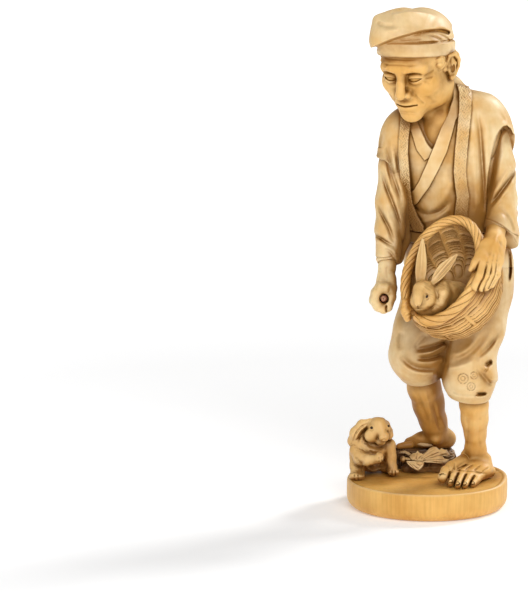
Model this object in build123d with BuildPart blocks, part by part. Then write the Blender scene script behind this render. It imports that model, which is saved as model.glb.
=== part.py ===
"""Carved standing figure of a farmer with a basket and two rabbits on a round plinth.

The figure is put together from separately carved pieces, pegged to one another with
round dowels.  Every joint line falls on a garment edge: trouser hem, waist, armhole,
cuff, collar and head-cloth band.  Millimetres, +Z up, origin at the centre of the
plinth's underside, -Y is the front.
"""
import os

from build123d import *

os.makedirs("parts", exist_ok=True)

# ---------------------------------------------------------------- driving dimensions
PLINTH_D = 60.0          # turned plinth
PLINTH_H = 10.5
DISH = 0.5               # depth of the shallow dish in its top
DISH_R = 29.2
GROUND = PLINTH_H - DISH  # level on which everything stands

PEG_R = 1.2              # leg, neck, waist and basket dowels
PIN_R = 0.8              # wrist, shoulder and ornament dowels
STUB_R = 1.55            # broken end of a stick held in the closed hand
EYE_R = 0.55             # inlaid rabbit eyes

ROCK_TOP = 18.4          # mound under the rear foot
WAIST_Z = 93.0           # parting plane between trousers and upper body
NECK_Z = 153.0           # parting plane between upper body and head

HEM_R = (-1.8, 5.6, 47.2)      # centre of the rear trouser hem
HEM_L = (16.0, -3.0, 41.2)     # centre of the front trouser hem
CUFF_R = (-15.0, -13.0, 95.0)  # centre of the hanging arm's cuff
CUFF_L = (25.0, -11.0, 101.0)  # centre of the basket arm's cuff

MOUTH = (4.9, -25.5, 93.3)       # centre of the basket's mouth
MOUTH_N = (-0.158, -0.857, 0.491)  # the way the mouth faces
MOUTH_X = (0.366, 0.411, 0.835)  # long direction of the mouth
MOUTH_A, MOUTH_B = 20.8, 13.2    # half length and half width of the mouth
BASKET_DEEP = 14.5
ROPE_R = 1.9                   # rope-twisted rim

# ---------------------------------------------------------------- dowels
with BuildPart() as foot_dowels:
    with BuildSketch(Plane.XY.offset(GROUND - 6.0)):
        with Locations((18.2, 4.0)):
            Circle(PEG_R)
    extrude(amount=10.0)
    with BuildSketch(Plane.XY.offset(ROCK_TOP - 5.0)):
        with Locations((5.5, 17.5)):
            Circle(PEG_R)
    extrude(amount=9.0)
foot_dowels.part.label = "foot_dowels"

rear_shin_axis = Plane(origin=HEM_R, x_dir=(1, 0, 0), z_dir=(-0.16, -0.45, 0.88))
front_shin_axis = Plane(origin=HEM_L, x_dir=(1, 0, 0), z_dir=(-0.03, -0.2, 0.98))
with BuildPart() as shin_dowels:
    with BuildSketch(rear_shin_axis.offset(-5.0)):
        Circle(PEG_R)
    extrude(amount=10.0)
    with BuildSketch(front_shin_axis.offset(-5.0)):
        Circle(PEG_R)
    extrude(amount=10.0)
shin_dowels.part.label = "shin_dowels"

with BuildPart() as waist_dowels:
    with BuildSketch(Plane.XY.offset(WAIST_Z - 7.0)):
        with Locations((1.0, 9.0), (17.0, 9.0)):
            Circle(PEG_R)
    extrude(amount=14.0)
waist_dowels.part.label = "waist_dowels"

with BuildPart() as neck_dowel:
    with BuildSketch(Plane.XY.offset(NECK_Z - 8.0)):
        with Locations((6.8, 1.6)):
            Circle(PEG_R + 0.4)
    extrude(amount=18.0)
neck_dowel.part.label = "neck_dowel"

with BuildPart() as shoulder_dowels:
    with BuildSketch(Plane(origin=(-18.0, 0.5, 131.0), x_dir=(0, 1, 0), z_dir=(1, 0, 0.1))):
        Circle(PIN_R)
    extrude(amount=11.0)
    with BuildSketch(Plane(origin=(29.5, 3.0, 131.0), x_dir=(0, 1, 0), z_dir=(-1, 0, 0.1))):
        Circle(PIN_R)
    extrude(amount=11.0)
shoulder_dowels.part.label = "shoulder_dowels"

right_wrist_axis = Plane(origin=CUFF_R, x_dir=(1, 0, 0), z_dir=(0.0, 0.42, 0.91))
left_wrist_axis = Plane(origin=CUFF_L, x_dir=(1, 0, 0), z_dir=(0.22, 0.66, 0.72))
with BuildPart() as wrist_dowels:
    with BuildSketch(right_wrist_axis.offset(-5.0)):
        Circle(PIN_R)
    extrude(amount=10.0)
    with BuildSketch(left_wrist_axis.offset(-5.0)):
        Circle(PIN_R)
    extrude(amount=10.0)
wrist_dowels.part.label = "wrist_dowels"

mouth_plane = Plane(origin=MOUTH, x_dir=MOUTH_X, z_dir=MOUTH_N)
BASKET_SINK = (4.6, 0.0, -5.4)   # how far the bottom lies to the side of and below the mouth
basket_floor = Plane(
    origin=Vector(*MOUTH) + Vector(*MOUTH_N) * -BASKET_DEEP + Vector(*BASKET_SINK), x_dir=MOUTH_X, z_dir=MOUTH_N
)
with BuildPart() as basket_dowel:
    with BuildSketch(basket_floor.offset(-8.0)):
        Circle(PEG_R)
    extrude(amount=9.2)
basket_dowel.part.label = "basket_dowel"

with BuildPart() as ornament_dowels:
    with BuildSketch(Plane.XY.offset(GROUND - 5.0)):
        with Locations((-24.2, 3.0), (-13.2, 8.6), (-6.0, 19.0), (2.0, 20.5)):
            Circle(PIN_R)
    extrude(amount=9.0)
ornament_dowels.part.label = "ornament_dowels"

# ---------------------------------------------------------------- plinth
with BuildPart() as plinth:
    with BuildSketch(Plane.XZ):
        with BuildLine():
            Polyline(
                (0, 0),
                (PLINTH_D / 2 - 1.6, 0),
                (PLINTH_D / 2 - 0.5, 0.6),
                (PLINTH_D / 2, 1.8),
                (PLINTH_D / 2, PLINTH_H - 0.6),
                (PLINTH_D / 2 - 0.6, PLINTH_H),
                (DISH_R, PLINTH_H),
                (DISH_R - 0.7, GROUND),
                (0, GROUND),
                close=True,
            )
        make_face()
    revolve(axis=Axis.Z)
    add(foot_dowels.part, mode=Mode.SUBTRACT)
    add(ornament_dowels.part, mode=Mode.SUBTRACT)
plinth.part.label = "plinth"

# ---------------------------------------------------------------- mound under the rear foot
with BuildPart() as ground_mound:
    with BuildSketch(Plane.XY.offset(GROUND)):
        with Locations((-1.2, 18.3)):
            RectangleRounded(21.6, 13.6, 4.5)
    with BuildSketch(Plane.XY.offset(ROCK_TOP - 2.2)):
        with Locations((-1.4, 18.3)):
            RectangleRounded(20.0, 12.0, 4.0)
    with BuildSketch(Plane.XY.offset(ROCK_TOP)):
        with Locations((-1.6, 18.3)):
            RectangleRounded(20.4, 12.4, 4.0)
    loft(ruled=True)
    add(foot_dowels.part, mode=Mode.SUBTRACT)
    add(ornament_dowels.part, mode=Mode.SUBTRACT)
ground_mound.part.label = "ground_mound"

# ---------------------------------------------------------------- curled leaves lying against the mound
leaf_plane = Plane(origin=(-1.0, 9.4, 14.6), x_dir=(1, 0, 0.05), z_dir=(0.0, -0.80, 0.60))
with BuildPart() as leaf_spray:
    with BuildSketch(leaf_plane):
        with BuildLine():
            Spline(
                (-9.2, -1.6), (-6.0, -4.6), (-2.0, -3.4), (3.0, -2.6), (8.4, -2.0),
                (10.2, 1.2), (6.0, 3.4), (1.0, 3.6), (-4.0, 2.6), (-8.4, 1.4),
                periodic=True,
            )
        make_face()
    extrude(amount=1.5)
    with BuildSketch(Plane(origin=(-5.0, 9.0, GROUND), x_dir=(1, 0, 0), z_dir=(0, 0, 1))):
        Ellipse(2.6, 2.4)
    extrude(amount=2.6)
    add(ground_mound.part, mode=Mode.SUBTRACT)
    with Locations((0, 0, GROUND - 5.0)):
        Box(100, 100, 10.0, mode=Mode.SUBTRACT)
leaf_spray.part.label = "leaf_spray"

# ---------------------------------------------------------------- rear (right) lower leg and foot
with BuildPart() as right_leg:
    for o, zd, rx, ry in (
        (HEM_R, (-0.16, -0.45, 0.88), 6.5, 6.4),
        ((0.2, 9.6, 38.0), (-0.12, -0.35, 0.93), 6.0, 6.1),
        ((1.9, 13.4, 29.5), (-0.10, -0.25, 0.96), 5.0, 5.0),
        ((2.9, 15.8, 23.5), (0.0, 0.0, 1.0), 4.9, 4.4),
    ):
        with BuildSketch(Plane(origin=o, x_dir=(1, 0, 0), z_dir=zd)):
            Ellipse(rx, ry)
    loft()
    for x, z, ry, rz in ((8.4, 21.6, 3.4, 3.4), (5.0, 22.2, 4.2, 4.0), (-2.0, 21.0, 4.6, 2.7), (-9.8, 20.0, 4.7, 1.7)):
        with BuildSketch(Plane(origin=(x, 17.6, z), x_dir=(0, 1, 0), z_dir=(-1, 0, 0))):
            Ellipse(ry, rz)
    loft()
    with Locations((0, 18, ROCK_TOP - 5.0)):
        Box(60, 40, 10.0, mode=Mode.SUBTRACT)
    add(foot_dowels.part, mode=Mode.SUBTRACT)
    add(shin_dowels.part, mode=Mode.SUBTRACT)
right_leg.part.label = "right_leg"

# ---------------------------------------------------------------- front (left) lower leg and foot
with BuildPart() as left_leg:
    for o, zd, rx, ry in (
        (HEM_L, (-0.03, -0.2, 0.98), 5.6, 5.8),
        ((16.9, -0.4, 34.0), (-0.03, -0.2, 0.98), 4.7, 5.0),
        ((17.5, 2.4, 26.0), (-0.03, -0.2, 0.98), 3.8, 4.4),
        ((17.8, 4.2, 18.0), (0.0, 0.0, 1.0), 4.5, 5.0),
    ):
        with BuildSketch(Plane(origin=o, x_dir=(1, 0, 0), z_dir=zd)):
            Ellipse(rx, ry)
    loft()
    for x, y, z, rx, rz in (
        (18.8, 9.4, 14.4, 3.4, 3.6), (18.2, 4.0, 15.6, 4.7, 5.2),
        (16.0, -5.0, 13.2, 7.6, 3.8), (13.0, -14.0, 12.2, 8.0, 2.3),
    ):
        with BuildSketch(Plane(origin=(x, y, z), x_dir=(1, 0.2, 0), z_dir=(-0.2, -1, 0))):
            Ellipse(rx, rz)
    loft()
    with Locations((18, 0, GROUND - 5.0)):
        Box(60, 60, 10.0, mode=Mode.SUBTRACT)
    add(foot_dowels.part, mode=Mode.SUBTRACT)
    add(shin_dowels.part, mode=Mode.SUBTRACT)
left_leg.part.label = "left_leg"

# ---------------------------------------------------------------- basket: woven bowl and rope rim
# depth below the mouth, share of the sideways sink, half length, half width
BASKET_SECTIONS = (
    (0.0, 0.0, MOUTH_A, MOUTH_B),
    (-4.5, 0.62, MOUTH_A - 0.2, MOUTH_B + 3.6),
    (-9.5, 0.94, MOUTH_A - 2.6, MOUTH_B + 2.6),
    (-BASKET_DEEP, 1.0, MOUTH_A - 8.4, MOUTH_B - 2.6),
)
WALL = 1.8
with BuildPart() as basket_rim:
    with BuildLine(mouth_plane):
        rim_path = EllipticalCenterArc((0, 0), MOUTH_A, MOUTH_B, start_angle=0, arc_size=360)
    with BuildSketch(Plane(origin=rim_path @ 0, z_dir=rim_path % 0)):
        Circle(ROPE_R)
    sweep()
basket_rim.part.label = "basket_rim"

with BuildPart() as basket_outside:
    for d, sink, ra, rb in BASKET_SECTIONS:
        middle = Vector(*MOUTH) + Vector(*MOUTH_N) * d + Vector(*BASKET_SINK) * sink
        with BuildSketch(Plane(origin=middle, x_dir=MOUTH_X, z_dir=MOUTH_N)):
            Ellipse(ra, rb)
    loft()

with BuildPart() as basket_body:
    add(basket_outside.part)
    for d, sink, ra, rb in BASKET_SECTIONS:
        lift = WALL if d == -BASKET_DEEP else 0.0
        middle = Vector(*MOUTH) + Vector(*MOUTH_N) * (d + lift) + Vector(*BASKET_SINK) * sink
        with BuildSketch(Plane(origin=middle, x_dir=MOUTH_X, z_dir=MOUTH_N)):
            Ellipse(ra - WALL, rb - WALL)
    loft(mode=Mode.SUBTRACT)
    add(basket_rim.part, mode=Mode.SUBTRACT)
    add(wrist_dowels.part, mode=Mode.SUBTRACT)
    add(basket_dowel.part, mode=Mode.SUBTRACT)
basket_body.part.label = "basket_body"

# ---------------------------------------------------------------- trousers
with BuildPart() as trousers:
    for o, zd, rx, ry in (
        (HEM_R, (-0.16, -0.45, 0.88), 8.4, 8.2),
        ((-3.6, 2.0, 56.0), (-0.10, -0.30, 0.95), 10.2, 10.6),
        ((-1.6, 2.0, 68.0), (0.0, 0.1, 1.0), 10.8, 12.2),
        ((3.0, 6.0, 80.0), (0.0, 0.1, 1.0), 12.2, 13.6),
    ):
        with BuildSketch(Plane(origin=o, x_dir=(1, 0, 0), z_dir=zd)):
            Ellipse(rx, ry)
    loft()
    for o, zd, rx, ry in (
        (HEM_L, (-0.03, -0.2, 0.98), 7.6, 7.8),
        ((16.2, -3.2, 52.0), (0.0, -0.1, 1.0), 9.8, 10.4),
        ((16.4, 0.6, 66.0), (0.0, 0.1, 1.0), 10.8, 12.2),
        ((17.4, 6.0, 80.0), (0.0, 0.1, 1.0), 13.2, 13.6),
    ):
        with BuildSketch(Plane(origin=o, x_dir=(1, 0, 0), z_dir=zd)):
            Ellipse(rx, ry)
    loft()
    for x, y, z, rx, ry in ((10.6, 6.0, 70.0, 18.0, 14.0), (10.6, 7.0, 80.0, 20.4, 17.0), (9.6, 8.2, WAIST_Z, 17.6, 15.4)):
        with BuildSketch(Plane.XY.offset(z)):
            with Locations((x, y)):
                Ellipse(rx, ry)
    loft()
    add(shin_dowels.part, mode=Mode.SUBTRACT)
    add(waist_dowels.part, mode=Mode.SUBTRACT)
    add(basket_outside.part, mode=Mode.SUBTRACT)
    add(basket_dowel.part, mode=Mode.SUBTRACT)
trousers.part.label = "trousers"

# ---------------------------------------------------------------- upper body: jacket over a crossed robe
with BuildPart() as torso:
    for x, y, z, rx, ry in (
        (9.2, 8.6, WAIST_Z, 17.4, 14.4),
        (8.0, 7.6, 106.0, 18.0, 15.4),
        (6.8, 6.0, 122.0, 20.0, 16.4),
        (6.0, 4.8, 134.0, 23.4, 15.6),
        (7.2, 4.6, 142.0, 22.4, 13.6),
        (9.2, 5.2, 148.5, 16.6, 11.6),
        (9.6, 5.4, NECK_Z, 11.4, 10.0),
    ):
        with BuildSketch(Plane.XY.offset(z)):
            with Locations((x, y)):
                Ellipse(rx, ry)
    loft()
    with BuildSketch(Plane.XY.offset(NECK_Z)):
        with Locations((9.6, 5.4)):
            Ellipse(11.0, 9.6)
        with Locations((7.0, 1.0)):
            Ellipse(9.8, 10.0, mode=Mode.SUBTRACT)
    extrude(amount=4.5)
    add(waist_dowels.part, mode=Mode.SUBTRACT)
    add(neck_dowel.part, mode=Mode.SUBTRACT)
    add(shoulder_dowels.part, mode=Mode.SUBTRACT)
    add(basket_outside.part, mode=Mode.SUBTRACT)
    add(basket_rim.part, mode=Mode.SUBTRACT)
torso.part.label = "torso"

# ---------------------------------------------------------------- sleeves
with BuildPart() as right_sleeve:
    for o, zd, rx, ry in (
        (CUFF_R, (0.0, 0.42, 0.91), 4.4, 5.4),
        ((-14.2, -8.4, 103.0), (0.0, 0.36, 0.93), 5.2, 7.4),
        ((-14.0, -4.4, 113.0), (0.02, 0.24, 0.97), 5.6, 7.8),
        ((-13.4, -0.6, 126.0), (0.06, 0.16, 0.98), 6.0, 7.6),
        ((-12.4, 0.8, 137.0), (0.1, 0.10, 0.98), 5.0, 6.6),
    ):
        with BuildSketch(Plane(origin=o, x_dir=(1, 0, 0), z_dir=zd)):
            Ellipse(rx, ry)
    loft()
    add(torso.part, mode=Mode.SUBTRACT)
    add(trousers.part, mode=Mode.SUBTRACT)
    add(shoulder_dowels.part, mode=Mode.SUBTRACT)
    add(wrist_dowels.part, mode=Mode.SUBTRACT)
right_sleeve.part.label = "right_sleeve"

with BuildPart() as left_sleeve:
    for o, zd, rx, ry in (
        (CUFF_L, (0.22, 0.66, 0.72), 5.4, 5.8),
        ((26.6, -5.0, 107.0), (0.12, 0.50, 0.86), 6.0, 7.0),
        ((27.2, -0.6, 116.0), (0.0, 0.24, 0.97), 6.0, 7.8),
        ((26.4, 2.2, 127.0), (-0.08, 0.10, 0.99), 5.8, 7.6),
        ((24.4, 3.0, 137.0), (-0.14, 0.04, 0.99), 4.8, 6.6),
    ):
        with BuildSketch(Plane(origin=o, x_dir=(1, 0, 0), z_dir=zd)):
            Ellipse(rx, ry)
    loft()
    add(torso.part, mode=Mode.SUBTRACT)
    add(trousers.part, mode=Mode.SUBTRACT)
    add(shoulder_dowels.part, mode=Mode.SUBTRACT)
    add(wrist_dowels.part, mode=Mode.SUBTRACT)
    add(basket_outside.part, mode=Mode.SUBTRACT)
    add(basket_rim.part, mode=Mode.SUBTRACT)
left_sleeve.part.label = "left_sleeve"

# ---------------------------------------------------------------- hands
with BuildPart() as held_stick_stub:
    with BuildSketch(Plane(origin=(-16.0, -16.5, 82.0), x_dir=(1, 0, 0), z_dir=(0.05, -1.0, 0.12))):
        Circle(STUB_R)
    extrude(amount=6.6)
held_stick_stub.part.label = "held_stick_stub"

with BuildPart() as right_hand:
    for o, zd, rx, ry in (
        (CUFF_R, (0.0, 0.42, 0.91), 3.4, 3.4),
        ((-15.6, -15.4, 89.6), (0.0, 0.30, 0.95), 4.2, 4.0),
        ((-16.2, -17.4, 83.4), (0.0, 0.20, 0.98), 5.2, 6.2),
        ((-16.2, -18.2, 78.6), (0.0, 0.10, 0.99), 4.0, 5.4),
    ):
        with BuildSketch(Plane(origin=o, x_dir=(1, 0, 0), z_dir=zd)):
            Ellipse(rx, ry)
    loft()
    with BuildSketch(Plane(origin=(-16.0, -16.5, 82.0), x_dir=(1, 0, 0), z_dir=(0.05, -1.0, 0.12))):
        Circle(STUB_R)
    extrude(amount=14.0, mode=Mode.SUBTRACT)
    add(wrist_dowels.part, mode=Mode.SUBTRACT)
right_hand.part.label = "right_hand"

with BuildPart() as left_hand:
    for o, zd, rx, ry in (
        (CUFF_L, (0.22, 0.66, 0.72), 3.8, 3.4),
        ((22.6, -20.4, 98.6), (0.22, 0.80, 0.56), 4.6, 3.1),
        ((21.0, -27.6, 93.8), (0.14, 0.72, 0.68), 5.0, 2.7),
        ((20.0, -30.8, 87.0), (0.06, 0.34, 0.94), 4.6, 1.9),
    ):
        with BuildSketch(Plane(origin=o, x_dir=(1, 0, 0), z_dir=zd)):
            Ellipse(rx, ry)
    loft()
    add(basket_rim.part, mode=Mode.SUBTRACT)
    add(basket_body.part, mode=Mode.SUBTRACT)
    add(wrist_dowels.part, mode=Mode.SUBTRACT)
left_hand.part.label = "left_hand"

# ---------------------------------------------------------------- head and head cloth
HEAD_C = (-4.6, -7.6, 166.6)        # middle of the skull
HEAD_AX = (-0.145, -0.273, 0.951)   # from the neck to the crown
HEAD_L = (0.883, -0.469, 0.0)       # towards the figure's left ear
skull_plane = Plane(origin=HEAD_C, x_dir=HEAD_L, z_dir=HEAD_AX)
with BuildPart() as head:
    with BuildSketch(Plane(origin=(6.6, 1.2, NECK_Z), x_dir=HEAD_L, z_dir=(0, 0, 1))):
        Ellipse(6.6, 7.0)
    with BuildSketch(Plane(origin=(1.2, -3.2, 158.0), x_dir=HEAD_L, z_dir=HEAD_AX)):
        Ellipse(9.2, 11.6)
    for t, rx, ry in ((-2.0, 12.8, 14.6), (6.0, 12.6, 14.4), (13.0, 9.8, 11.2), (16.5, 5.4, 6.4)):
        with BuildSketch(skull_plane.offset(t)):
            Ellipse(rx, ry)
    loft()
    with Locations((-6.0, -13.6, 156.0)):
        Sphere(7.6)
    add(torso.part, mode=Mode.SUBTRACT)
    add(neck_dowel.part, mode=Mode.SUBTRACT)
head.part.label = "head"

with BuildPart() as head_cloth:
    for t, fwd, rx, ry in ((3.0, 0.0, 14.4, 16.2), (8.0, 0.8, 15.2, 17.0), (14.0, 1.6, 14.0, 15.4), (18.0, 1.8, 10.4, 11.8), (20.4, 1.8, 5.2, 6.0)):
        middle = Vector(*HEAD_C) + Vector(*HEAD_AX) * t + Vector(-0.469, -0.883, 0.0) * fwd
        with BuildSketch(Plane(origin=middle, x_dir=HEAD_L, z_dir=HEAD_AX)):
            Ellipse(rx, ry)
    loft()
    add(head.part, mode=Mode.SUBTRACT)
head_cloth.part.label = "head_cloth"

# ---------------------------------------------------------------- rabbit looking out of the basket
RABBIT_EYES = ((-0.7, -33.3, 85.8), (-5.2, -27.4, 86.4))
with BuildPart() as basket_rabbit_eyes:
    with Locations(*RABBIT_EYES):
        Sphere(EYE_R)
basket_rabbit_eyes.part.label = "basket_rabbit_eyes"

with BuildPart() as basket_rabbit:
    with Locations((-1.4, -29.0, 84.6)):
        Sphere(4.6)
    with Locations((-3.3, -31.3, 82.8)):
        Sphere(2.8)
    for o, zd, rx, ry in (
        ((2.6, -28.4, 84.2), (0.6, 0.75, -0.1), 4.0, 4.2),
        ((8.2, -23.2, 83.4), (0.5, 0.8, -0.1), 6.2, 6.0),
        ((11.4, -17.8, 82.8), (0.4, 0.85, -0.1), 5.0, 5.0),
    ):
        with BuildSketch(Plane(origin=o, x_dir=(1, 0, 0), z_dir=zd)):
            Ellipse(rx, ry)
    loft()
    for a, b in (((-2.8, -28.0, 88.0), (-2.2, -21.4, 102.6)), ((0.8, -28.0, 87.6), (10.4, -25.0, 98.8))):
        ear = Plane(origin=a, x_dir=(1, 0, 0), z_dir=(b[0] - a[0], b[1] - a[1], b[2] - a[2]))
        length = sum((b[i] - a[i]) ** 2 for i in range(3)) ** 0.5
        for t, rx, ry in ((0.0, 1.3, 1.1), (0.4, 2.1, 0.9), (0.8, 1.7, 0.8), (1.0, 0.6, 0.5)):
            with BuildSketch(ear.offset(t * length)):
                Ellipse(rx, ry)
        loft()
    with Locations(*RABBIT_EYES):
        Sphere(EYE_R, mode=Mode.SUBTRACT)
    add(basket_body.part, mode=Mode.SUBTRACT)
    add(basket_rim.part, mode=Mode.SUBTRACT)
    add(basket_dowel.part, mode=Mode.SUBTRACT)
basket_rabbit.part.label = "basket_rabbit"

# ---------------------------------------------------------------- rabbit on the plinth
with BuildPart() as plinth_rabbit_eyes:
    with Locations((-21.8, -2.1, 29.4), (-14.6, -1.9, 29.0)):
        Sphere(EYE_R)
plinth_rabbit_eyes.part.label = "plinth_rabbit_eyes"

with BuildPart() as plinth_rabbit:
    for o, zd, rx, ry in (
        ((-20.6, 13.0, 15.6), (0, -0.9, 0.45), 3.6, 3.0),
        ((-20.8, 10.0, 17.4), (0, -0.9, 0.45), 6.6, 6.0),
        ((-20.6, 5.0, 20.2), (0, -0.8, 0.6), 7.2, 6.6),
        ((-19.6, 1.6, 24.6), (0.1, -0.6, 0.8), 5.8, 5.2),
    ):
        with BuildSketch(Plane(origin=o, x_dir=(1, 0, 0), z_dir=zd)):
            Ellipse(rx, ry)
    loft()
    with Locations((-18.4, 1.2, 28.0)):
        Sphere(4.9)
    with Locations((-16.8, -2.2, 26.2)):
        Sphere(2.9)
    for a, b, r0, r1 in (
        ((-14.6, 4.4, 21.0), (-13.0, 8.2, GROUND), 2.6, 2.0),
        ((-24.6, 4.4, 18.0), (-25.0, 2.4, GROUND), 3.4, 2.6),
        ((-21.8, 2.4, 19.8), (-18.4, -3.6, 17.4), 2.6, 1.6),
    ):
        limb = Plane(origin=a, z_dir=(b[0] - a[0], b[1] - a[1], b[2] - a[2]))
        length = sum((b[i] - a[i]) ** 2 for i in range(3)) ** 0.5
        for t, r in ((0.0, r0), (1.0 + 0.6 / length, r1)):
            with BuildSketch(limb.offset(t * length)):
                Circle(r)
        loft()
    ear = Plane(origin=(-21.8, 3.0, 30.6), x_dir=(0, 1, 0), z_dir=(-4.8, 3.4, -9.0))
    for t, rx, ry in ((0.0, 1.6, 1.2), (5.0, 2.3, 1.3), (10.4, 1.1, 0.9)):
        with BuildSketch(ear.offset(t)):
            Ellipse(rx, ry)
    loft()
    with Locations((-20, 5, GROUND - 5.0)):
        Box(60, 60, 10.0, mode=Mode.SUBTRACT)
    add(ornament_dowels.part, mode=Mode.SUBTRACT)
    add(plinth_rabbit_eyes.part, mode=Mode.SUBTRACT)
plinth_rabbit.part.label = "plinth_rabbit"

# ---------------------------------------------------------------- write every piece
for piece in (
    plinth, ground_mound, leaf_spray, plinth_rabbit, plinth_rabbit_eyes,
    right_leg, left_leg, trousers, torso, right_sleeve, left_sleeve,
    right_hand, left_hand, held_stick_stub, head, head_cloth,
    basket_body, basket_rim, basket_rabbit, basket_rabbit_eyes,
    foot_dowels, shin_dowels, waist_dowels, neck_dowel, shoulder_dowels,
    wrist_dowels, basket_dowel, ornament_dowels,
):
    export_step(piece.part, f"parts/{piece.part.label}.step")
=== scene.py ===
"""Looks of the carved figure: every piece is sculpted as a distance field and meshed, in the
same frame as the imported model.  Lengths in the sculpting code are millimetres; the meshes
are written in metres."""
import math

import bpy
import numpy as np
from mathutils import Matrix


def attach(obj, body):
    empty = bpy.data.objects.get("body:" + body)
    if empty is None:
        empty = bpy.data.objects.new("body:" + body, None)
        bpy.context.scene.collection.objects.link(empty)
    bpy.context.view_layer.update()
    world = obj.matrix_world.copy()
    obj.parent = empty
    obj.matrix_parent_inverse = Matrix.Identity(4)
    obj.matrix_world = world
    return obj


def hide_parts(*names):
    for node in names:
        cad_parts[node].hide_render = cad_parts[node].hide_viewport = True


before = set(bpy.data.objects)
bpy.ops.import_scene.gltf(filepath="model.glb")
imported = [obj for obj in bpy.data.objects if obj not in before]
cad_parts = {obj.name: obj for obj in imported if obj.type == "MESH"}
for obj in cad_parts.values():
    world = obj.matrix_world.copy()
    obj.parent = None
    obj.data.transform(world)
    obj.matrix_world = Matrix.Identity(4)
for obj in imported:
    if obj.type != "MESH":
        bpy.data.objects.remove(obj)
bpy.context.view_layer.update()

F4 = np.float32

# ------------------------------------------------------------------ the viewing camera
FOCAL = 3200.0
CX, CY = 264.0, 305.0
CAM = np.array([0.0, -1170.87122936545, 273.29376751407])
YAW, PITCH = 0.052085276207800624, 0.1672201759336702
AXF = np.array([-math.sin(YAW) * math.cos(PITCH), math.cos(YAW) * math.cos(PITCH), -math.sin(PITCH)])
AXR = np.cross(AXF, [0, 0, 1.0])
AXR /= np.linalg.norm(AXR)
AXU = np.cross(AXR, AXF)


def P(u, v, y):
    """Point seen at pixel (u, v) at depth Y = y."""
    d = AXF + AXR * ((u - CX) / FOCAL) + AXU * ((CY - v) / FOCAL)
    return CAM + d * ((y - CAM[1]) / d[1])


def proj(p):
    r = p - CAM.astype(F4)
    z = r @ AXF.astype(F4)
    return CX + FOCAL * (r @ AXR.astype(F4)) / z, CY - FOCAL * (r @ AXU.astype(F4)) / z


# ------------------------------------------------------------------ distance fields
def V(*a):
    return np.array(a, F4)


def unit(a):
    a = np.asarray(a, float)
    return a / np.linalg.norm(a)


def smin(a, b, k):
    h = np.maximum(k - np.abs(a - b), 0.0) / k
    return np.minimum(a, b) - h * h * (k * 0.25)


def smax(a, b, k):
    return -smin(-a, -b, k)


def sstep(a, b, x):
    t = np.clip((x - a) / (b - a), 0.0, 1.0)
    return t * t * (3.0 - 2.0 * t)


def ball(p, c, r):
    q = p - np.asarray(c, F4)
    return np.sqrt(np.einsum("ij,ij->i", q, q)) - r


def egg(p, c, r, rot=None):
    """Ellipsoid; rot has the local axes as its rows."""
    q = p - np.asarray(c, F4)
    if rot is not None:
        q = q @ np.asarray(rot, F4).T
    r = np.asarray(r, F4)
    a = q / r
    b = a / r
    k0 = np.sqrt(np.einsum("ij,ij->i", a, a))
    k1 = np.sqrt(np.einsum("ij,ij->i", b, b)) + 1e-9
    return k0 * (k0 - 1.0) / k1


def cone(p, a, b, r1, r2):
    """Round cone from a to b."""
    a, b = np.asarray(a, F4), np.asarray(b, F4)
    ba = b - a
    l2 = float(ba @ ba)
    rr = float(r1 - r2)
    a2 = max(l2 - rr * rr, 1e-6)
    il2 = 1.0 / l2
    pa = p - a
    y = pa @ ba
    z = y - l2
    x2 = np.maximum(np.einsum("ij,ij->i", pa, pa) * (l2 * l2) - y * y * l2, 0.0)
    y2 = y * y * l2
    z2 = z * z * l2
    k = math.copysign(1.0, rr) * rr * rr * x2
    d = (np.sqrt(x2 * a2 * il2) + y * rr) * il2 - r1
    c1 = np.sign(z) * a2 * z2 > k
    c2 = np.sign(y) * a2 * y2 < k
    d = np.where(c2, np.sqrt(x2 + y2) * il2 - r1, d)
    return np.where(c1, np.sqrt(x2 + z2) * il2 - r2, d)


def chain(p, pts, rs, k=0.0):
    d = None
    for i in range(len(pts) - 1):
        e = cone(p, pts[i], pts[i + 1], rs[i], rs[i + 1])
        d = e if d is None else (smin(d, e, k) if k else np.minimum(d, e))
    return d


def plane(p, o, n):
    """Negative on the side n points away from."""
    n = unit(n).astype(F4)
    return (p - np.asarray(o, F4)) @ n


def spline(xs, ys, x):
    """Smooth (Catmull-Rom) interpolation of a table."""
    xs, ys = np.asarray(xs, float), np.asarray(ys, float)
    m = np.gradient(ys, xs)
    x = np.clip(x, xs[0], xs[-1])
    i = np.clip(np.searchsorted(xs, x) - 1, 0, len(xs) - 2)
    h = xs[i + 1] - xs[i]
    t = (x - xs[i]) / h
    t2, t3 = t * t, t * t * t
    return (2 * t3 - 3 * t2 + 1) * ys[i] + (t3 - 2 * t2 + t) * h * m[i] + (-2 * t3 + 3 * t2) * ys[i + 1] + (t3 - t2) * h * m[i + 1]


def loft(p, table, power=2.0):
    """Upright column of ellipses: table rows are z, cx, cy, rx, ry."""
    t = np.asarray(table, float)
    z = p[:, 2]
    cx, cy, rx, ry = (spline(t[:, 0], t[:, k], z).astype(F4) for k in (1, 2, 3, 4))
    a, b = np.abs(p[:, 0] - cx) / rx, np.abs(p[:, 1] - cy) / ry
    if power == 2.0:
        k0 = np.sqrt(a * a + b * b)
    else:
        k0 = (a**power + b**power) ** (1.0 / power)
    k1 = np.sqrt((a / rx) ** 2 + (b / ry) ** 2) + 1e-9
    return (k0 - 1.0) * np.maximum(np.sqrt(a * a + b * b), 0.2) / k1


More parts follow.
